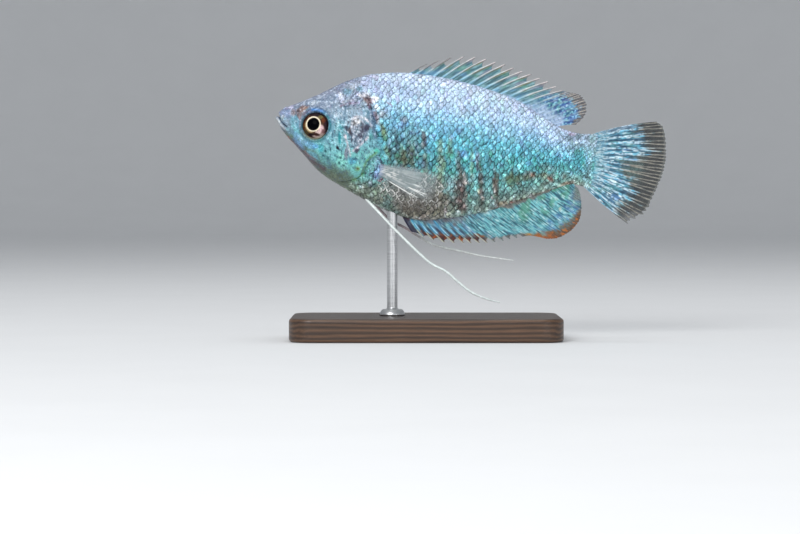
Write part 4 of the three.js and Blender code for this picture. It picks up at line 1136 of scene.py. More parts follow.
# Scales: (place along the body, share of the full length)
SCALE_LENGTH_SHARE = [(9, .62), (13, .78), (17.5, 1), (40, 1), (49, .82), (BODY_LENGTH, .6), (SKIN_END, .45)]
ROW_STEP = .58  # share of a scale's length between rows
ROWS_EACH_WAY = 46  # rows above and below the middle of the flank, more than fit
SCALE_ROWS, SCALE_COLUMNS = 8, 6  # points along and across a scale
SCALE_PATCH = .003  # size of a scale on the bake map
SMALL_SCALES = (9.6, 3.9)  # the nape's small scales start behind and above this place


def scale_lattice(length):
    """Places of the scales on a flank, as along, girth and length, staggered from row to row."""
    length_at = through([(x, length * share) for x, share in SCALE_LENGTH_SHARE])
    step = .05
    fine = np.arange(0, SKIN_END - .3, step)
    count = np.cumsum(step / length_at(fine))
    rows, columns = np.meshgrid(
        np.arange(-ROWS_EACH_WAY, ROWS_EACH_WAY + 1), np.arange(0, int(count[-1]) + 1), indexing="ij"
    )
    along = np.interp((columns + .5 * (rows % 2)).ravel(), count, fine)
    girth = rows.ravel() * ROW_STEP * length_at(np.minimum(along, BODY_LENGTH))
    _, _, up, down = turn_table()
    up, down = (np.interp(along, skin_surface()["stations"], limit) for limit in (up, down))
    on_flank = (girth < up + .2) & (girth > .1 - down)
    return along[on_flank], girth[on_flank], length_at(along)[on_flank]


def scale_zones(seen):
    """Which places carry the body's scales, and which the small ones of the nape."""
    behind, _ = from_line(seen, HEAD_REAR)
    return behind > .35, (behind < -.15) & (seen > SMALL_SCALES).all(-1)


# The belly's net of pale scale edges is partly pearly and partly painted glints.
BELLY_NET = (24.5, -9.8, 5.6, 3.6)  # oval of the bright net on the belly


SCALE_TURNS = (-78, 84)  # degrees from the root of a scale to its rear tip
ROOT_DEPTH, ROOT_START, CROWN = .05, .07, .02


def scales_mesh(along, girth, sizes, side, lift, rng):
    """Joins overlapping scales, each a thin lens with its root sunk in the skin and its rear edge raised."""
    turn = np.radians(np.linspace(*SCALE_TURNS, SCALE_ROWS))
    across = np.linspace(-1, 1, SCALE_COLUMNS)
    s = np.repeat(.68 * np.sign(turn) * np.abs(np.sin(turn)) ** .85 - .08, SCALE_COLUMNS)
    t = ((.74 * np.cos(turn) ** .85)[:, None] * across).ravel()
    rise = -ROOT_DEPTH + (lift + ROOT_DEPTH) * (s - s.min()) / (s.max() - s.min())
    crown = CROWN * (1 - np.tile(np.abs(across), SCALE_ROWS) ** 2)
    shape = np.stack([np.repeat(np.sin(turn), SCALE_COLUMNS), (np.cos(turn)[:, None] * across).ravel()], -1)
    shape = np.concatenate([shape, [(0, 0)]])
    n, m = len(along), len(s)

    def uneven(spread):
        return rng.normal(0, spread, n)[:, None]

    swing = uneven(.14)
    bigger = sizes[:, None] * (1 + uneven(.1))
    x = along[:, None] + bigger * (s + swing * t) + uneven(.05)
    g = girth[:, None] + bigger * (t - swing * s) + uneven(.05)
    height = (rise + crown + uneven(.008)) * np.ones((n, m))
    tops = on_skin(x.ravel(), g.ravel(), side, height.ravel()).reshape(n, m, 3)
    under = on_skin(along - .1 * sizes, girth, side, np.full(n, -ROOT_START))[:, None]
    flat = np.concatenate([tops, under], axis=1).reshape(-1, 3)
    grid = grid_faces(SCALE_ROWS, SCALE_COLUMNS)
    lower = fan_faces(rim_of_grid(SCALE_ROWS, SCALE_COLUMNS), m, True)
    if side < 0:
        grid, lower = grid[:, ::-1], lower[:, ::-1]
    start = (np.arange(n) * (m + 1))[:, None, None]
    faces = [(grid + start).reshape(-1, 4), (lower + start).reshape(-1, 3)]
    ridge = np.interp(along, skin_surface()["stations"], turn_table()[2])
    root = unwrapped(along, (girth - ridge) * -side)
    maps = {
        "scale_shape": np.tile(shape * .5 + .5, (n, 1)),
        "OFBake": (root[:, None] + (shape * SCALE_PATCH / 2)[None]).reshape(-1, 2),
    }
    tone = 1 + rng.normal(0, .055, n)
    cast = np.repeat(rng.normal(0, .014, (n, 3)), m + 1, axis=0)
    colour = speckled(painted(flat), flat) * np.repeat(tone, m + 1)[:, None] * (1 + cast)
    x, z = flat[:, 0], flat[:, 2]
    pearly_net_and_glints = fade(.7, 1.15, from_oval(x, z, BELLY_NET) + .25 * noise(flat, 1.1, 15))
    colour = mix(colour, (86, 82, 76), .6 * pearly_net_and_glints)
    # Painted light: the lowest scales of the belly, which face down into shade, are made lighter.
    low = fade(0, 1.6, z - belly_at(x))
    colour = colour * (1 + .3 * low * ease(22, 26, x))[:, None]
    # The net's pale edges carry painted glints; their mask goes to the scale material.
    bright = pearly_net_and_glints * ease(-.5, .3, noise(flat, .6, 16)) * ease(-13.2, -9, z)
    return flat, faces, light_of(colour, border_and_shade_strength(flat) * (1 - .7 * pearly_net_and_glints)), maps, {"pearly_net_and_glints": bright}


def build_scales(looks):
    """The scales of the flanks and the small ones of the nape, a piece of each to a side."""
    rng = np.random.default_rng(11)
    material = scale_material(looks)
    along, girth, sizes = scale_lattice(looks.scale_length / MM)
    for side, name in SIDES:
        centre = on_skin(along, girth, side, np.zeros(len(along)))
        body, nape = scale_zones(centre[:, ::2])
        for piece, zone, lift, slot in (
            ("scales", body, looks.scale_lift, "scaled_skin"),
            ("nape_scales", nape, .4 * looks.scale_lift, "head_skin"),
        ):
            flat, faces, colours, maps, values = scales_mesh(
                along[zone], girth[zone], sizes[zone], side, lift / MM, rng
            )
            new_piece(f"{piece}_{name}", row_frame(flat), faces, material, (), slot, colours, maps, values)


# Fins
# Columns of points from one ray to the next
SHARES = np.array([0, .06, .12, .19, .27, .36, .45, .54, .63, .72, .8, .87, .94])


def table_rays(rays, edge_at):
    """Roots, sunk in the body, and tips of the rays of a fin that stands on the back or the belly."""
    root_x, tip_x, tip_z = np.array(rays, float).T
    root, tip = np.stack([root_x, edge_at(root_x)], -1), np.stack([tip_x, tip_z], -1)
    way = tip - root
    way /= np.linalg.norm(way, axis=1, keepdims=True)
    return root - way * ROOT_SUNK, tip


FIN_ROWS = {"dorsal": 52, "anal": 56, "tail": 84, "pectoral": 48}  # points along a ray
RAY_HALF_SPREAD = 1.25  # how far a ray's rounded side reaches, as a share of its half thickness
STOUT_SPINES = [(0, 1.8), (2, 1.5), (4, 1)]  # the first spines: (spine, times as thick)
NOTCH_SHAPE = [(.12, 0), (.19, .3), (.36, .55), (.63, .83), (.87, 1), (.94, 0)]  # across the web


def between_rays(ends, i, share):
    """Places between each ray and the next."""
    return ends[i][:, None] * (1 - share[..., None]) + ends[i + 1][:, None] * share[..., None]


def fin_grid(root, tip, spines, rows, thickness, bow, notches, fray):
    """The plane of a fin as a grid of columns by rows, with its half thickness and what lies there."""
    count = len(root)
    place = np.concatenate([(np.arange(count - 1)[:, None] + SHARES).ravel(), [count - 1]])
    i = np.minimum(place.astype(int), count - 2)
    share = place - i
    soft_edge = 1 - on_table(place, fray) * (np.sin(2 * np.pi * share) ** 2 + ray_noise(place * 3, 17))
    notch = on_table(i, notches)
    cut = notch * on_table(share, NOTCH_SHAPE) ** (1 - .6 * ease(.25, .45, notch))
    web_edge = np.where(i < spines - 1, 1 - cut, soft_edge)
    far = np.linspace(0, 1, rows)[None] * web_edge[:, None]
    share, column = share[:, None], place[:, None]
    start = between_rays(root, i, share)
    run = between_rays(tip, i, share) - start
    across = np.stack([run[..., 1], -run[..., 0]], -1)
    bend = np.interp(column, np.arange(count), np.broadcast_to(bow, count)) * 4 * far * (1 - far)
    spacing = np.linalg.norm(tip[i + 1] - tip[i], axis=-1)[:, None] * far
    spacing += np.linalg.norm(root[i + 1] - root[i], axis=-1)[:, None] * (1 - far)
    soft = np.where(share < .5, i[:, None], i[:, None] + 1) >= spines
    branch = np.where(soft, .22 * ease(.4, .95, far), 0)  # soft rays split in two
    away = np.abs(np.minimum(share, 1 - share) - branch) * spacing
    stout = on_table(column, STOUT_SPINES) if spines else 1
    ray_half = thickness["ray"] / 2 * (1 - np.where(soft, .5, .2) * far) * stout
    on_ray = np.sqrt(np.clip(1 - (away / (ray_half * RAY_HALF_SPREAD)) ** 2, 0, 1))
    web_half = thickness["web"] / 2
    every = np.ones_like(far)
    return {
        "flat": start + run * far[..., None] + across * bend[..., None],
        "half": web_half + np.maximum(ray_half - web_half, 0) * on_ray,
        "far": far, "on_ray": on_ray, "share": share * every, "place": column * every,
        "back": column / (count - 1) * every, "length": np.linalg.norm(run, axis=-1),
    }


def streaks_along(grid, seed, across, along):
    """Noise drawn out along the rays, with so many lumps between two rays and so many for each millimetre."""
    far = grid["far"]
    return noise(np.stack([grid["place"] * across, far * grid["length"] * along, 0 * far], -1), 1, seed)


def fin_piece(name, grid, at, colour_of, material, node, slot="fin_web"):
    """A fin as one closed sheet. at(flat, half, far, back, face) places its points."""
    rows, columns = grid["far"].shape
    sheets = [at(grid["flat"], grid["half"], grid["far"], grid["back"], face) for face in (1, -1)]
    points = np.concatenate([sheet.reshape(-1, 3) for sheet in sheets])
    upper = grid_faces(rows, columns)
    lower = grid_faces(rows, columns, rows * columns)[:, ::-1]
    rim = rim_of_grid(rows, columns)
    after = np.roll(rim, -1)
    edge = np.stack([after, rim, rim + rows * columns, after + rows * columns], -1)
    faces = np.concatenate([upper, lower, edge])
    if outward_volume(points, faces) < 0:
        faces = faces[:, ::-1]
    colour, alpha = colour_of(grid, sheets[0])
    colours = light_of(colour.reshape(-1, 3), alpha.reshape(-1))
    new_piece(name, row_frame(points), [faces], material, [node], slot, np.concatenate([colours, colours]))


def upright(sway):
    """Places a fin in the middle plane of the fish, bent sideways by sway(how far back, how far out)."""
    def at(flat, half, far, back, face):
        return np.stack([flat[..., 0], sway(back, far) + face * half, flat[..., 1]], -1)
    return at


def tinted(base, layers):
    """Layers laid over one plain colour, each with its mask kept from 0 to 1."""
    shape = np.broadcast_shapes(*(np.shape(mask) for *_, mask in layers))
    colour = np.broadcast_to(np.asarray(base, float), shape + (3,))
    return laid_over(colour, [(*tint, np.clip(mask * np.ones(shape), 0, 1)) for *tint, mask in layers])


# How deep the web is cut in behind each spine: (spine, share of its length)
DORSAL_NOTCHES = [(0, .62), (1, .52), (2, .42), (3, .33), (4, .27), (14, .25)]
ANAL_NOTCHES = [(0, .1), (1, .16), (6, .18), (13, .1)]
NO_NOTCHES = [(0, 0)]
# How deep the web is cut in between soft rays: (ray, share of its length)
DORSAL_FRAY = [(14, .008), (17, .022), (22, .016)]
ANAL_FRAY = [(14, .006), (29, .006)]
TAIL_FRAY = [(0, .008), (11, .01), (15, .06)]
PECTORAL_FRAY = [(0, .006)]


def dorsal_colours(grid, points):
    """Blue web with pale spines, an olive stripe behind each spine and a bright blue rear lobe."""
    far, back, share, on_ray = (grid[key] for key in ("far", "back", "share", "on_ray"))
    x, z = points[..., 0], points[..., 2]
    lumps, dots = noise(points, .8, 21), noise(points, .26, 25)
    thin, thick = streaks_along(grid, 22, 8, .7), streaks_along(grid, 23, 2, .5)
    cells = streaks_along(grid, 24, 3.2, 1.6)
    lobe = ease(.6, .76, back + .03 * lumps)
    edge = ease(.74, .88, far + .07 * lumps - .04 * (1 - lobe) + .07 * lobe * (thin + dots))
    under_spine = bump(share - .15, .14) * ease(.3, .6, far) * (1 - lobe)
    sheath = fade(.12, .24, far + .08 * lumps) * ease(.4, .6, back)
    sheath = np.maximum(sheath, fade(.32, .5, far + .1 * lumps) * lobe)
    colour = tinted((92, 138, 148), [
        (150, 188, 194, .7 * ease(0, .5, thin)), (58, 94, 106, .7 * ease(.05, .55, -thin)),
        (94, 148, 196, .55 * ease(.05, .5, thick) * fade(.3, .6, far)),
        (86, 150, 120, .4 * ease(.35, .65, lumps) * ease(.25, .4, far)),
        (142, 136, 84, .85 * under_spine * ease(-.2, .2, thick)),
        (146, 138, 164, .6 * ease(.1, .5, -thick) * ease(.35, .6, far)),
        (138, 134, 140, .85 * edge * (1 - lobe)), (88, 146, 196, .9 * lobe),
        (48, 88, 154, .85 * lobe * ease(.05, .4, cells)), (146, 214, 230, .85 * lobe * ease(.15, .5, -cells)),
        (60, 134, 134, .65 * lobe * ease(.15, .5, lumps)), (38, 66, 124, .75 * lobe * ease(.1, .4, dots)),
        (172, 226, 240, .8 * lobe * ease(.15, .45, -dots) * ease(-.3, .2, cells)),
        (74, 68, 70, .9 * lobe * edge), (110, 140, 176, .5 * lobe * edge * ease(.2, .5, -dots)),
    ])
    pale = tinted((204, 212, 212), [
        (146, 200, 224, fade(.2, .5, far)), (226, 220, 218, ease(.7, .9, far)),
        (178, 172, 164, lobe * edge), (110, 104, 100, lobe * edge * ease(0, .4, thick)),
        (136, 128, 128, .8 * ease(.35, .6, far) * fade(1.5, 3, grid["place"])),
    ])
    colour = mix(colour, pale, ease(.1, .6, on_ray) * (1 - lobe * (1 - edge) * .75) * .95)
    shade = bump(share - .13, .05) * ease(.35, .6, far) * (1 - lobe)
    colour = mix(colour, (104, 96, 98), .75 * shade)
    colour = mix(colour, (184, 204, 230), .85 * sheath)
    broken = ease(-.2, .3, np.sin(5.7 * (z - .3 * x)) + .4 * cells)
    strokes = ease(.3, .8, np.sin(7.8 * (x + .6 * z))) * broken
    colour = mix(colour, (96, 126, 168), .6 * sheath * strokes)
    alpha = .92 - .1 * edge - .3 * lobe * edge
    return colour * (1 + .12 * cells[..., None]), np.clip(np.maximum(alpha, .97 * on_ray), 0, 1)


ANAL_CREAM_SPOT = (49.7, -9.4, .22, .4)
RUST_DEPTH = [(.46, .03), (.55, .12), (.66, .15), (.76, .15), (.9, .1)]  # of the edge, front to rear


def anal_colours(grid, points):
    """Blue green web, dark red spots on the front tips, a rusty rear edge and a clear rear corner."""
    far, back, share, on_ray = (grid[key] for key in ("far", "back", "share", "on_ray"))
    x, z = points[..., 0], points[..., 2]
    lumps, fine = noise(points, .8, 31), noise(points, .3, 35)
    thin, thick = streaks_along(grid, 32, 8.5, 1.1), streaks_along(grid, 33, 2.2, .4)
    each = ray_noise(np.floor(grid["place"]) * 3.7, 36)
    front = fade(.014, .034, back + .01 * lumps)
    fore = fade(.16, .3, back + .03 * lumps)
    tips = ease(.64, .8, far + .1 * thick + .06 * fine)
    between = ease(.04, .16, share) * fade(.84, .96, share)
    dark_spots = tips * between * fade(.26, .34, back) * ease(.03, .06, back)
    teeth = ease(.84, .93, far + .04 * lumps) * ease(.26, .32, back) * fade(.46, .5, back)
    rust = ease(-.05, .05, far - (1 - on_table(back, RUST_DEPTH)) + .06 * lumps + .07 * thin)
    rust = rust * ease(.45, .5, back) * fade(.84, .93, back)
    stripe = .9 * fore * bump(share - .22, .2 + .1 * each) * ease(.25, .4, far + .1 * lumps - .2 * each)
    glint = .85 * fore * bump(share - .27 + .1 * each, .07) * ease(.3, .5, far + .1 * thick)
    foot = .8 * fade(.16, .4, far + .15 * lumps + .1 * fine) * fade(.25, .4, back)
    colour = tinted((88, 156, 168), [
        (134, 210, 216, .85 * ease(0, .45, thin)), (36, 80, 100, .75 * ease(0, .45, -thin)),
        (116, 150, 208, .6 * bump(back - .22, .16) * ease(-.1, .4, thick)),
        (96, 96, 132, .5 * fore * ease(.1, .5, -thick)),
        (78, 126, 190, .6 * ease(.55, .7, back) * ease(.5, .7, far) * ease(-.2, .3, thick)),
        (84, 150, 118, .6 * ease(.45, .65, back) * fade(.4, .7, far) * ease(-.1, .4, lumps)),
        (206, 234, 236, .7 * ease(.1, .45, thin) * ease(.05, .4, fine)), (112, 110, 118, foot),
        (70, 66, 78, .6 * fade(.12, .34, far) * fade(.35, .45, back) * ease(0, .4, fine)),
        (44, 40, 58, .85 * fore * ease(.3, .55, far) * bump(share - .7, .22)),
        (78, 168, 214, stripe), (206, 236, 248, glint),
        (82, 34, 28, .95 * dark_spots), (176, 92, 34, .75 * dark_spots * ease(.1, .45, fine)),
        (34, 26, 30, .8 * dark_spots * ease(.15, .5, -fine)),
        (112, 108, 106, .85 * teeth), (74, 60, 62, .7 * teeth * ease(0, .4, fine)), (158, 82, 34, .95 * rust),
        (208, 160, 70, .7 * rust * fade(.5, .6, back) * ease(-.2, .3, thin)),
        (92, 80, 66, .85 * rust * ease(.6, .72, back) * ease(-.5, 0, fine)),
        (84, 128, 140, .6 * rust * ease(.62, .72, back) * ease(.1, .4, thin) * (far < .93)),
        (60, 42, 38, .7 * rust * ease(.56, .7, back) * ease(.1, .4, -thin)),
        (196, 116, 52, .8 * rust * ease(.6, .7, back) * ease(.3, .5, -fine)),
        (46, 42, 62, .92 * front), (104, 44, 52, .7 * front * fade(.2, .35, far)),
    ])
    light_tip = on_ray * tips * fade(.28, .36, back) * (1 - front)
    light_ray = .5 * ease(.3, .9, on_ray) * (1 - rust) * (1 - fore) * ease(-.3, .3, fine)
    clear = ease(.86, .95, back + .03 * lumps) * ease(.55, .8, far)
    colour = laid_over(colour, [
        (200, 192, 164, .85 * ease(.45, .9, light_tip)), (182, 222, 224, light_ray),
        (216, 212, 192, .7 * fade(.5, 1.1, from_oval(x, z, ANAL_CREAM_SPOT) + .4 * fine)),
        (112, 124, 116, .8 * clear),
        (112, 96, 88, .75 * fade(.13, .18, far + .05 * lumps) * ease(.35, .5, back)),
    ])
    return colour, np.clip(.96 - .45 * clear * (1 - on_ray) - .2 * teeth * (1 - on_ray), .4, 1)


def tail_colours(grid, points):
    """Blue web with white dashes, a speckled root and a smoky, partly clear outer part."""
    far, back, on_ray = (grid[key] for key in ("far", "back", "on_ray"))
    lumps, fine, grit = noise(points * (.6, 1, 1), .9, 41), noise(points, .28, 42), noise(points, .2, 47)
    thin, thick = streaks_along(grid, 43, 7, 1), streaks_along(grid, 44, 2.4, .5)
    dashes = streaks_along(grid, 46, 3, 1.6)
    each = ray_noise(grid["place"] * 1.7, 45)
    reach = .7 - .22 * bump(back - .52, .14) + .07 * bump(back - .85, .12) + .1 * each
    outer = ease(reach - .1, reach + .08, far + .12 * thin + .06 * lumps - .05 * dashes - .06 * on_ray)
    root = fade(.08, .32, far + .1 * lumps + .05 * thin)
    violet = .5 * ease(.1, .4, -thick) * ease(.3, .5, far) * ease(0, .3, -dashes)
    colour = tinted((66, 116, 142), [
        (104, 186, 212, .85 * ease(-.1, .4, thick)), (92, 132, 196, violet),
        (34, 66, 90, .85 * ease(0, .4, -thin)),
        (224, 243, 250, .95 * ease(0, .3, thin) * ease(-.35, .15, dashes)),
        (88, 148, 150, .5 * ease(.2, .6, lumps)), (132, 146, 168, .6 * ease(.12, 0, back) * ease(0, .3, far)),
    ])
    ray_violet = .6 * ease(.1, .5, -thick) * ease(.35, .5, far) * ease(-.2, .2, fine)
    bright = tinted((204, 226, 238), [
        (124, 198, 226, ease(0, .4, dashes)), (124, 166, 214, ray_violet),
        (96, 136, 156, ease(.15, .5, -fine) * .9),
    ])
    colour = mix(colour, bright, .85 * ease(.2, .75, on_ray))
    smoke = tinted((56, 61, 62), [
        (34, 36, 40, .6 * ease(.1, .5, -thin)),
        (88, 120, 116, .7 * bump(back - .5, .17) * fade(.66, .84, far)),
        (154, 150, 140, .95 * ease(.3, .8, on_ray)), (96, 98, 96, .6 * on_ray * ease(0, .5, dashes)),
        (132, 134, 130, .7 * ease(.96, .985, far)),
    ])
    colour = mix(colour, smoke, outer)
    colour = laid_over(colour, [
        (152, 188, 198, .6 * root), (62, 108, 134, .8 * root * ease(.05, .35, .7 * fine + .6 * grit)),
        (220, 236, 242, .75 * root * ease(.1, .4, -.7 * fine - .6 * grit)),
        (60, 200, 214, .6 * bump(back - .6, .2) * bump(far - .08, .08)),
    ])
    clear_corner = .5 * outer * (1 - on_ray) * ease(.82, .95, back) * ease(.75, .95, far)
    alpha = .97 - outer * (.24 - .2 * on_ray) - clear_corner
    return colour * (1 + .16 * fine[..., None]), np.clip(alpha, .3, 1)


# Bright lengths of rays: (place from the top ray to the lowest, start, end, strength)
PECTORAL_BRIGHT_RAYS = [(.667, .22, .8, 1), (.556, .48, .84, .9), (.445, .5, .72, .5)]


def pectoral_colours(grid, points):
    """A clear fin with a blue root, a white haze and a few bright rays."""
    far, on_ray, back = grid["far"], grid["on_ray"], grid["back"]
    fine, thin = noise(points, .4, 51), streaks_along(grid, 52, 4, .6)
    root, upper = fade(.06, .16, far), fade(.56, .72, back)
    rays = sum(
        bright * bump(back - at, .055) * ease(start, start + .1, far) * fade(end - .1, end, far)
        for at, start, end, bright in PECTORAL_BRIGHT_RAYS
    )
    white = ease(-.3, .3, fine + thin) * bump(far - .24, .2) * bump(back - .4, .22)
    colour = tinted((156, 170, 172), [
        (140, 158, 202, .7 * root), (186, 194, 196, .6 * upper * ease(0, .4, thin)),
        (226, 226, 224, white), (250, 250, 246, ease(.1, .6, on_ray * rays)),
    ])
    faded = fade(.45, .95, far + .08 * fine) * ease(-.02, .18, back)
    haze = .04 + .56 * upper + .06 * thin + .25 * white
    shown = (haze + .04 * fine) * faded + on_ray * rays + .35 * root * ease(0, .1, back)
    return colour, np.clip(shown, .01, .95)


def build_middle_fins(looks):
    """The dorsal, anal and tail fins, each with the way it bows and sways."""
    material = fin_material(looks)
    thickness = {"web": looks.fin_web / MM, "ray": looks.fin_ray / MM}
    grid = fin_grid(
        *table_rays(DORSAL_RAYS, back_at), DORSAL_SPINES, FIN_ROWS["dorsal"], thickness, -.028,
        DORSAL_NOTCHES, DORSAL_FRAY,
    )
    sway = upright(lambda back, out: .35 * out * np.sin(5 * back))
    fin_piece("dorsal_fin_web", grid, sway, dorsal_colours, material, "dorsal_fin")
    grid = fin_grid(
        *table_rays(ANAL_RAYS, belly_at), ANAL_SPINES, FIN_ROWS["anal"], thickness, .03,
        ANAL_NOTCHES, ANAL_FRAY,
    )
    sway = upright(lambda back, out: -.5 * out**2 * np.sin(3 * back))
    fin_piece("anal_fin_web", grid, sway, anal_colours, material, "anal_fin")
    down = np.linspace(0, 1, TAIL_FIN["rays"])
    root_z = TAIL_FIN["root_top"] + (TAIL_FIN["root_bottom"] - TAIL_FIN["root_top"]) * down
    root = np.stack([np.full(len(down), TAIL_FIN["root_x"]), root_z], -1)
    tip = np.stack([through(TAIL_FIN["tip_x"])(down), through(TAIL_FIN["tip_z"])(down)], -1)
    thickness["ray"] *= .85
    bow = .02 * down - .035 * (1 - down) ** 2
    grid = fin_grid(root, tip, 0, FIN_ROWS["tail"], thickness, bow, NO_NOTCHES, TAIL_FRAY)
    sway = upright(lambda back, out: out**2 * (.3 - back))
    fin_piece("tail_fin_web", grid, sway, tail_colours, material, "tail_fin")


def build_pectoral_fins(looks):
    """The clear fins on the flanks, each spread by its own angle."""
    material = fin_material(looks)
    material.name = "clear fin web"
    thickness = {"web": looks.fin_web / MM, "ray": .45 * looks.fin_ray / MM}
    rays = np.arange(PECTORAL_FIN["rays"])
    share = (rays / rays[-1])[:, None]
    root = np.array(PECTORAL_FIN["root_top"]) * (1 - share) + np.array(PECTORAL_FIN["root_bottom"]) * share
    reach, lean = through(PECTORAL_FIN["reach"])(rays), np.radians(through(PECTORAL_FIN["lean"])(rays))
    tip = root + np.stack([np.cos(lean), np.sin(lean)], -1) * reach[:, None]
    grid = fin_grid(root, tip, 0, FIN_ROWS["pectoral"], thickness, 0, NO_NOTCHES, PECTORAL_FRAY)
    base_x, base_z = grid["flat"][:, :1, 0], grid["flat"][:, :1, 1]
    for side, name in SIDES:
        flare = math.radians(PECTORAL_FIN["flare"][name])

        def at(flat, half, far, back, face):
            along = flat[..., 0] - base_x - ROOT_SUNK * (1 - far)
            bend = PECTORAL_FIN["bend"] * np.sin(np.pi * far)
            thick = face * half
            x = base_x + along * math.cos(flare) - thick * math.sin(flare)
            out = flank_at(base_x, base_z) + along * math.sin(flare) + bend + thick * math.cos(flare)
            return np.stack([x, side * out, flat[..., 1]], -1)

        fin_piece(
            f"pectoral_fin_web_{name}", grid, at, pectoral_colours, material, f"pectoral_fin_{name}",
            "clear_fin_web",
        )


def tube(path, radii, sides):
    """Points and faces of a round tube along a path, closed at both ends."""
    run = np.gradient(path, axis=0)
    run /= np.linalg.norm(run, axis=1, keepdims=True)
    first = np.cross(run, (0, 1.0, 0))
    first /= np.linalg.norm(first, axis=1, keepdims=True)
    second = np.cross(run, first)
    turn = full_turn(sides)[:, None]
    ring = first[:, None] * np.cos(turn) + second[:, None] * np.sin(turn)
    points = (path[:, None] + ring * radii[:, None, None]).reshape(-1, 3)
    points = np.concatenate([points, path[:1], path[-1:]])
    return points, closed_faces(points, len(path), sides)


FEELER_RADIUS = [(0, .36), (.06, .3), (.3, .22), (.8, .2), (1, .07)]  # from root to tip
FEELER_POINTS, FEELER_SIDES = 260, 14
# Colour of a feeler's root, and the share of its length over which it turns to the tip's
NEAR_STALK, FAR_STALK = ((168, 172, 164), (0, .08)), ((170, 156, 160), (.5, .64))


def build_feelers(looks):
    """The two long pelvic feelers, thin and faintly ringed."""
    material = feeler_material()
    radius_at = through(FEELER_RADIUS)
    for name, line, tint, (stalk, pales) in (
        ("left", LEFT_FEELER, looks.near_feeler, NEAR_STALK),
        ("right", RIGHT_FEELER, looks.far_feeler, FAR_STALK),
    ):
        start = np.array(line[0]) + np.array([-.5, 0, .55])
        path = smooth_line([tuple(start)] + line, FEELER_POINTS)
        along = np.linspace(0, 1, FEELER_POINTS)
        points, faces = tube(path, radius_at(along) * (1 + .05 * np.sin(along * 330)), FEELER_SIDES)
        tone = mix(np.broadcast_to(stalk, (FEELER_POINTS, 3)), np.array(tint) * 255, ease(*pales, along))
        colours = np.repeat(tone, FEELER_SIDES, axis=0)
        colours = np.concatenate([colours, colours[:1], colours[-1:]])
        colours = colours * (1 + .06 * noise(points, .6, 61))[:, None]
        new_piece(
            f"pelvic_feeler_thread_{name}", row_frame(points), faces, material, [f"pelvic_feeler_{name}"],
            "feeler_skin", light_of(colours),
        )


PUPIL = {"at": (-.11, .16), "radius": 1.07, "raised": .12}  # from the eye's middle, to the tail and up
FRONT_RINGS, BACK_RINGS, EYE_SIDES = 66, 24, 160
# Iris: (to the tail, up, reach along, reach up, colour, strength)
IRIS_SPOTS = [
    (0, 2.1, 1.9, .6, 34, 28, 34, .9), (-1.75, .7, .6, .9, 58, 30, 24, .9),
    (-1.8, -.4, .5, .7, 84, 54, 32, .85), (-1.3, -1.4, .6, .5, 62, 56, 38, .85),
    (1.0, 1.5, .6, .36, 118, 108, 70, .85), (1.55, 1.1, .45, .55, 112, 62, 42, .9),
    # The pink-white spots at (1.25, -.45) and (.85, -1.15) are painted highlights.
    (1.95, .2, .35, .9, 52, 36, 42, .9), (1.25, -.45, .55, .75, 238, 204, 206, .95),
    (.85, -1.15, .5, .35, 232, 206, 202, .85), (1.75, -.9, .4, .5, 128, 92, 92, .85),
    (.1, -1.7, 1.0, .4, 30, 22, 24, .95), (.9, -1.85, 1.1, .3, 178, 158, 150, .85),
    (1.5, -1.5, .4, .4, 186, 162, 156, .8), (.6, -1.5, .5, .26, 56, 34, 30, .85),
]


def eye_colours(rear, up, front):
    """A black pupil with a cream ring and a gold glow in a spotted brown iris with painted highlights."""
    r = np.hypot(rear, up)
    from_pupil = np.hypot(rear - PUPIL["at"][0], up - PUPIL["at"][1])
    turn = np.arctan2(up, rear)
    threads = noise(np.stack([turn * 6, r * 2, turn * 0], -1), .35, 71)
    colour = np.broadcast_to((74, 52, 42), r.shape + (3,)).astype(float)
    for *oval, red, green, blue, strength in IRIS_SPOTS:
        near = fade(.6, 1.25, from_oval(rear, up, oval) + .12 * threads)
        colour = mix(colour, (red, green, blue), strength * near)
    colour = colour * (1 + .16 * threads)[:, None]
    gold = bump(from_pupil - 1.4, .16) * ease(.2, 1, -np.cos(turn - .6))
    ring = ease(1.05, 1.1, from_pupil) * fade(1.27, 1.38, from_pupil - .04 * np.sin(turn - 1))
    low_rim = ease(2.08, 2.16, r) * ease(.3, 1, -up / 2)
    colour = laid_over(colour, [
        (206, 182, 128, .85 * gold), (246, 234, 206, .95 * ring), (4, 5, 9, fade(1.05, 1.11, from_pupil)),
        (26, 24, 28, .9 * ease(2.02, 2.12, r) * fade(2.16, 2.2, r) * (up > -1)),
        (188, 184, 158, .8 * low_rim), (30, 28, 32, 1 - front),
    ])
    return colour


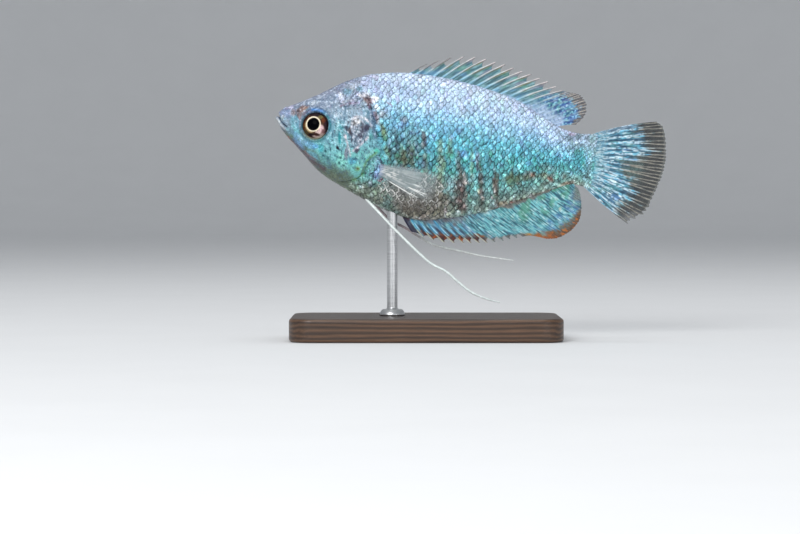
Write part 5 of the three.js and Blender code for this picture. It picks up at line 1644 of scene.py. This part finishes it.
def build_eyes():
    """The two eyes, each a flattened ball with a raised lens."""
    material = eye_material()
    polar = np.pi * np.concatenate([np.linspace(.02, .5, FRONT_RINGS), np.linspace(.52, .98, BACK_RINGS)])
    polar, turn = polar[:, None] * np.ones(EYE_SIDES), full_turn(EYE_SIDES)
    r = EYE_RADIUS * np.sin(polar)
    rear, up, front = r * np.cos(turn), r * np.sin(turn), np.cos(polar) > 0
    from_pupil = np.hypot(rear - PUPIL["at"][0], up - PUPIL["at"][1]) / PUPIL["radius"]
    lens = PUPIL["raised"] * np.sqrt(np.clip(1 - from_pupil**2, 0, 1))
    height = EYE_DEPTH * np.cos(polar) + front * (lens + .03 * bump(from_pupil - 1.2, .2))
    for side, name in SIDES:
        centre, to_rear, to_up, out = flank_axes(*EYE_CENTRE, side)
        centre = centre - out * EYE_SUNK
        grid = centre + rear[..., None] * to_rear + up[..., None] * to_up + height[..., None] * out
        flat = np.concatenate([grid.reshape(-1, 3), [grid[0].mean(0), grid[-1].mean(0)]])
        colours = eye_colours(rear.ravel(), up.ravel(), front.ravel())
        colours = np.concatenate([colours, colours[:1], colours[-1:]])
        new_piece(
            f"wet_eye_{name}", row_frame(flat), closed_faces(flat - centre, *rear.shape), material,
            [f"eye_{name}"], "eye", light_of(colours),
        )


# Stand
BASE_ARC, BASE_EDGE = 15, 8  # points round a corner of the base, and up its rounded edge
ROD_SIDES = 64


def build_stand(looks):
    """The walnut base with rounded edges, and the steel rod with its collar."""
    chamfer, corner = BASE["chamfer"], BASE["corner"]
    arc = np.radians(np.linspace(0, 90, BASE_ARC))
    turns = np.concatenate([arc + math.radians(90 * k) for k in range(4)])
    sign_x, sign_y = np.repeat([(1, 1), (-1, 1), (-1, -1), (1, -1)], BASE_ARC, axis=0).T
    edge = np.radians(np.linspace(0, 90, BASE_EDGE))
    inset, drop = chamfer * (1 - np.cos(edge)), chamfer * (1 - np.sin(edge))
    levels = [*zip(inset[::-1], drop[::-1]), *zip(inset, BASE["height"] - drop)]
    rings = []
    for step_in, z in levels:
        x = sign_x * (BASE["length"] / 2 - corner) + (corner - step_in) * np.cos(turns)
        y = sign_y * (BASE["width"] / 2 - corner) + (corner - step_in) * np.sin(turns)
        rings.append(np.stack([x, y, np.full(len(x), z)], -1))
    lathe_piece("walnut_base", np.array(rings), walnut_material(looks), "stand_base", "stand_wood")
    x, _, top = row_frame((ROD["along"], 0, belly_at(ROD["along"]))) / MM
    foot = BASE["height"] + .02
    height = top + .9 - foot
    radius, collar, wide, narrow = (
        ROD[key] for key in ("radius", "collar_height", "collar_radius", "collar_top")
    )
    profile = [
        (wide - .12, 0), (wide, .12), (wide, .3), (narrow, collar - .25), (narrow - .18, collar - .05),
        (narrow - .4, collar), (radius + .3, collar + .02), (radius + .06, collar + .12),
        (radius, collar + .3), (radius, height - .2), (radius - .2, height),
    ]
    turn = full_turn(ROD_SIDES)
    rings = np.array([
        np.stack([x + r * np.cos(turn), r * np.sin(turn), np.full(ROD_SIDES, foot + z)], -1)
        for r, z in profile
    ])
    lathe_piece("steel_rod", rings, steel_material(), "stand_rod", "stand_metal")


def lathe_piece(name, rings, material, node, slot):
    """A piece of the stand from its rings of points, bottom first, with crisp edges."""
    points = np.concatenate([rings.reshape(-1, 3), [rings[0].mean(0), rings[-1].mean(0)]])
    piece = new_piece(name, points * MM, closed_faces(points, *rings.shape[:2]), material, [node], slot)
    piece.modifiers.new("crisp edges", "WEIGHTED_NORMAL").keep_sharp = True


# Stage
FLAT_FLOOR, BACKDROP_BEND, FLOOR_SIDES = 1.1, .35, 96  # radii in metres, and the floor's sides


def build_stage(stage):
    """A pale floor that rises far out into a round backdrop, soft lights and the camera."""
    bend = np.linspace(.1, np.pi / 2, 14)
    out = np.concatenate([
        np.linspace(0, FLAT_FLOOR, 12), FLAT_FLOOR + BACKDROP_BEND * np.sin(bend),
        [FLAT_FLOOR + BACKDROP_BEND],
    ])[1:, None]
    up = np.concatenate([np.zeros(12), BACKDROP_BEND * (1 - np.cos(bend)), [1.0]])[1:, None]
    turn = full_turn(FLOOR_SIDES)
    rings = np.stack([out * np.cos(turn), out * np.sin(turn), up * np.ones(FLOOR_SIDES)], -1)
    points = np.concatenate([rings.reshape(-1, 3), [(0, 0, 0)]])
    quads = grid_faces(len(rings), FLOOR_SIDES, wrap=True)[:, ::-1]
    middle = fan_faces(np.arange(FLOOR_SIDES), len(points) - 1)
    mesh = bpy.data.meshes.new("floor")
    mesh.from_pydata(points.tolist(), [], quads.tolist() + middle.tolist())
    mesh.polygons.foreach_set("use_smooth", np.ones(len(mesh.polygons), bool))
    mesh.materials.append(floor_material(stage))
    add_object("floor", mesh)

    target = add_object("light target", None)
    target.location = (0, 0, .037)
    for name, place, size, power in (
        ("key light", (-.2, -.5, .3), .3, stage.key_power),
        ("fill light", (.35, -.55, .04), .4, stage.fill_power),
        ("top light", (0, .05, .6), .4, stage.top_power),
    ):
        light = bpy.data.lights.new(name, "AREA")
        light.shape, light.size, light.energy = "DISK", size, power
        lamp = add_object(name, light)
        lamp.location = place
        lamp.visible_camera = False
        aim = lamp.constraints.new("TRACK_TO")
        aim.target, aim.track_axis, aim.up_axis = target, "TRACK_NEGATIVE_Z", "UP_Y"

    world = bpy.data.worlds.new("soft room")
    world.use_nodes = True
    sky = world.node_tree.nodes["Background"]
    sky.inputs["Color"].default_value = (.93, .96, 1, 1)
    sky.inputs["Strength"].default_value = stage.room_light
    bpy.context.scene.world = world
    bpy.context.scene.view_settings.view_transform = "Standard"

    camera = bpy.data.cameras.new("camera")
    camera.lens, camera.sensor_width = stage.lens, 36
    lift = stage.camera_elevation
    body = add_object("camera", camera)
    from_aim = np.array([0, -math.cos(lift), math.sin(lift)])
    body.location = np.array(stage.aim) + stage.camera_distance * from_aim
    body.rotation_euler = (math.pi / 2 - lift, 0, 0)
    bpy.context.scene.camera = body


# Sizes and colours that a user would change
class GouramiLooks(bpy.types.PropertyGroup):
    """Scale sizes, fin thickness and finishes of the fish and its stand"""

    scale_length: FloatProperty(
        name="Scale length", description="Length of a scale's bare part", default=1.12 * MM, unit="LENGTH",
        precision=5,
    )
    scale_lift: FloatProperty(
        name="Scale lift", description="How far a scale's rear edge stands off the skin", default=.075 * MM,
        unit="LENGTH", precision=5,
    )
    # Darkening of a scale's rear edge: partly its border, partly painted shadow.
    scale_border_and_shade: FloatVectorProperty(
        name="Scale edge", description="How much the rear edge of a scale is darkened",
        default=(.14, .19, .24), subtype="COLOR", min=0, max=1,
    )
    wetness: FloatProperty(name="Wetness", description="Clear gloss over the skin", default=.2, min=0, max=1)
    fin_web: FloatProperty(
        name="Fin web", description="Thickness of the fin webs", default=.16 * MM, unit="LENGTH", precision=5
    )
    fin_ray: FloatProperty(
        name="Fin ray", description="Thickness of the fin rays at their roots", default=.36 * MM,
        unit="LENGTH", precision=5,
    )
    near_feeler: FloatVectorProperty(
        name="Left feeler", description="Colour of the left feeler", default=(.93, .97, .96),
        subtype="COLOR_GAMMA", min=0, max=1,
    )
    far_feeler: FloatVectorProperty(
        name="Right feeler", description="Colour of the right feeler", default=(.92, .94, .93),
        subtype="COLOR_GAMMA", min=0, max=1,
    )
    wood_dark: FloatVectorProperty(
        name="Dark grain", description="Dark lines of the walnut", default=(.035, .017, .009),
        subtype="COLOR", min=0, max=1,
    )
    wood_light: FloatVectorProperty(
        name="Light grain", description="Light lines of the walnut", default=(.12, .06, .03),
        subtype="COLOR", min=0, max=1,
    )


class GouramiStage(bpy.types.PropertyGroup):
    """Floor, lights and camera"""

    floor_colour: FloatVectorProperty(
        name="Floor", description="Colour of the floor and the backdrop", default=(.82, .83, .84),
        subtype="COLOR", min=0, max=1,
    )
    key_power: FloatProperty(
        name="Key light", description="Power of the light over the snout", default=2.0, unit="POWER"
    )
    fill_power: FloatProperty(
        name="Fill light", description="Power of the light by the tail", default=.7, unit="POWER"
    )
    top_power: FloatProperty(
        name="Top light", description="Power of the light over the fish", default=1.3, unit="POWER"
    )
    room_light: FloatProperty(
        name="Room light", description="Strength of the light all round", default=.42, min=0
    )
    lens: FloatProperty(name="Lens", description="Focal length in millimetres on a 36 mm frame", default=132)
    camera_distance: FloatProperty(
        name="Camera distance", description="From the camera to the fish's middle plane", default=.5,
        unit="LENGTH",
    )
    camera_elevation: FloatProperty(
        name="Camera height", description="How far the camera looks down", default=math.radians(1.5),
        subtype="ANGLE",
    )
    aim: FloatVectorProperty(
        name="Aim", description="Place in the middle of the picture", default=(-.0044, 0, .0123),
        unit="LENGTH", precision=4,
    )


# One operator for each piece or group of like pieces
class GOURAMI_OT_skin(bpy.types.Operator):
    """Make the fish's skin, from lips to tail root"""

    bl_idname = "gourami.skin"
    bl_label = "Skin"

    def execute(self, context):
        build_skin(context.scene.gourami_looks)
        return {"FINISHED"}


class GOURAMI_OT_scales(bpy.types.Operator):
    """Lay the scales over the flanks and the head"""

    bl_idname = "gourami.scales"
    bl_label = "Scales"

    def execute(self, context):
        build_scales(context.scene.gourami_looks)
        return {"FINISHED"}


class GOURAMI_OT_middle_fins(bpy.types.Operator):
    """Make the dorsal, anal and tail fins"""

    bl_idname = "gourami.middle_fins"
    bl_label = "Dorsal, anal and tail fins"

    def execute(self, context):
        build_middle_fins(context.scene.gourami_looks)
        return {"FINISHED"}


class GOURAMI_OT_pectoral_fins(bpy.types.Operator):
    """Make the clear pectoral fins"""

    bl_idname = "gourami.pectoral_fins"
    bl_label = "Pectoral fins"

    def execute(self, context):
        build_pectoral_fins(context.scene.gourami_looks)
        return {"FINISHED"}


class GOURAMI_OT_feelers(bpy.types.Operator):
    """Make the two pelvic feelers"""

    bl_idname = "gourami.feelers"
    bl_label = "Pelvic feelers"

    def execute(self, context):
        build_feelers(context.scene.gourami_looks)
        return {"FINISHED"}


class GOURAMI_OT_eyes(bpy.types.Operator):
    """Make the eyes"""

    bl_idname = "gourami.eyes"
    bl_label = "Eyes"

    def execute(self, context):
        build_eyes()
        return {"FINISHED"}


class GOURAMI_OT_stand(bpy.types.Operator):
    """Make the display base and its rod"""

    bl_idname = "gourami.stand"
    bl_label = "Display stand"

    def execute(self, context):
        build_stand(context.scene.gourami_looks)
        return {"FINISHED"}


class GOURAMI_OT_stage(bpy.types.Operator):
    """Set up the floor, the lights and the camera"""

    bl_idname = "gourami.stage"
    bl_label = "Stage"

    def execute(self, context):
        build_stage(context.scene.gourami_stage)
        return {"FINISHED"}


OPERATORS = (
    GOURAMI_OT_skin, GOURAMI_OT_scales, GOURAMI_OT_middle_fins, GOURAMI_OT_pectoral_fins, GOURAMI_OT_feelers,
    GOURAMI_OT_eyes, GOURAMI_OT_stand, GOURAMI_OT_stage,
)


class VIEW3D_PT_gourami(bpy.types.Panel):
    """Lists the model's pieces and their settings"""

    bl_label = "Dwarf gourami"
    bl_space_type = "VIEW_3D"
    bl_region_type = "UI"
    bl_category = "Gourami"

    def draw(self, context):
        for operator in OPERATORS:
            self.layout.operator(operator.bl_idname)
        for settings in (context.scene.gourami_looks, context.scene.gourami_stage):
            box = self.layout.box()
            for key in settings.bl_rna.properties.keys():
                if key not in ("rna_type", "name"):
                    box.prop(settings, key)


CLASSES = (GouramiLooks, GouramiStage, *OPERATORS, VIEW3D_PT_gourami)


def register():
    for cls in CLASSES:
        bpy.utils.register_class(cls)
    bpy.types.Scene.gourami_looks = PointerProperty(type=GouramiLooks)
    bpy.types.Scene.gourami_stage = PointerProperty(type=GouramiStage)


def unregister():
    del bpy.types.Scene.gourami_stage
    del bpy.types.Scene.gourami_looks
    for cls in reversed(CLASSES):
        bpy.utils.unregister_class(cls)


def main():
    register()
    bpy.ops.gourami.skin()
    bpy.ops.gourami.scales()
    bpy.ops.gourami.middle_fins()
    bpy.ops.gourami.pectoral_fins()
    bpy.ops.gourami.feelers()
    bpy.ops.gourami.eyes()
    bpy.ops.gourami.stand()
    bpy.ops.gourami.stage()


if __name__ == "__main__":
    main()
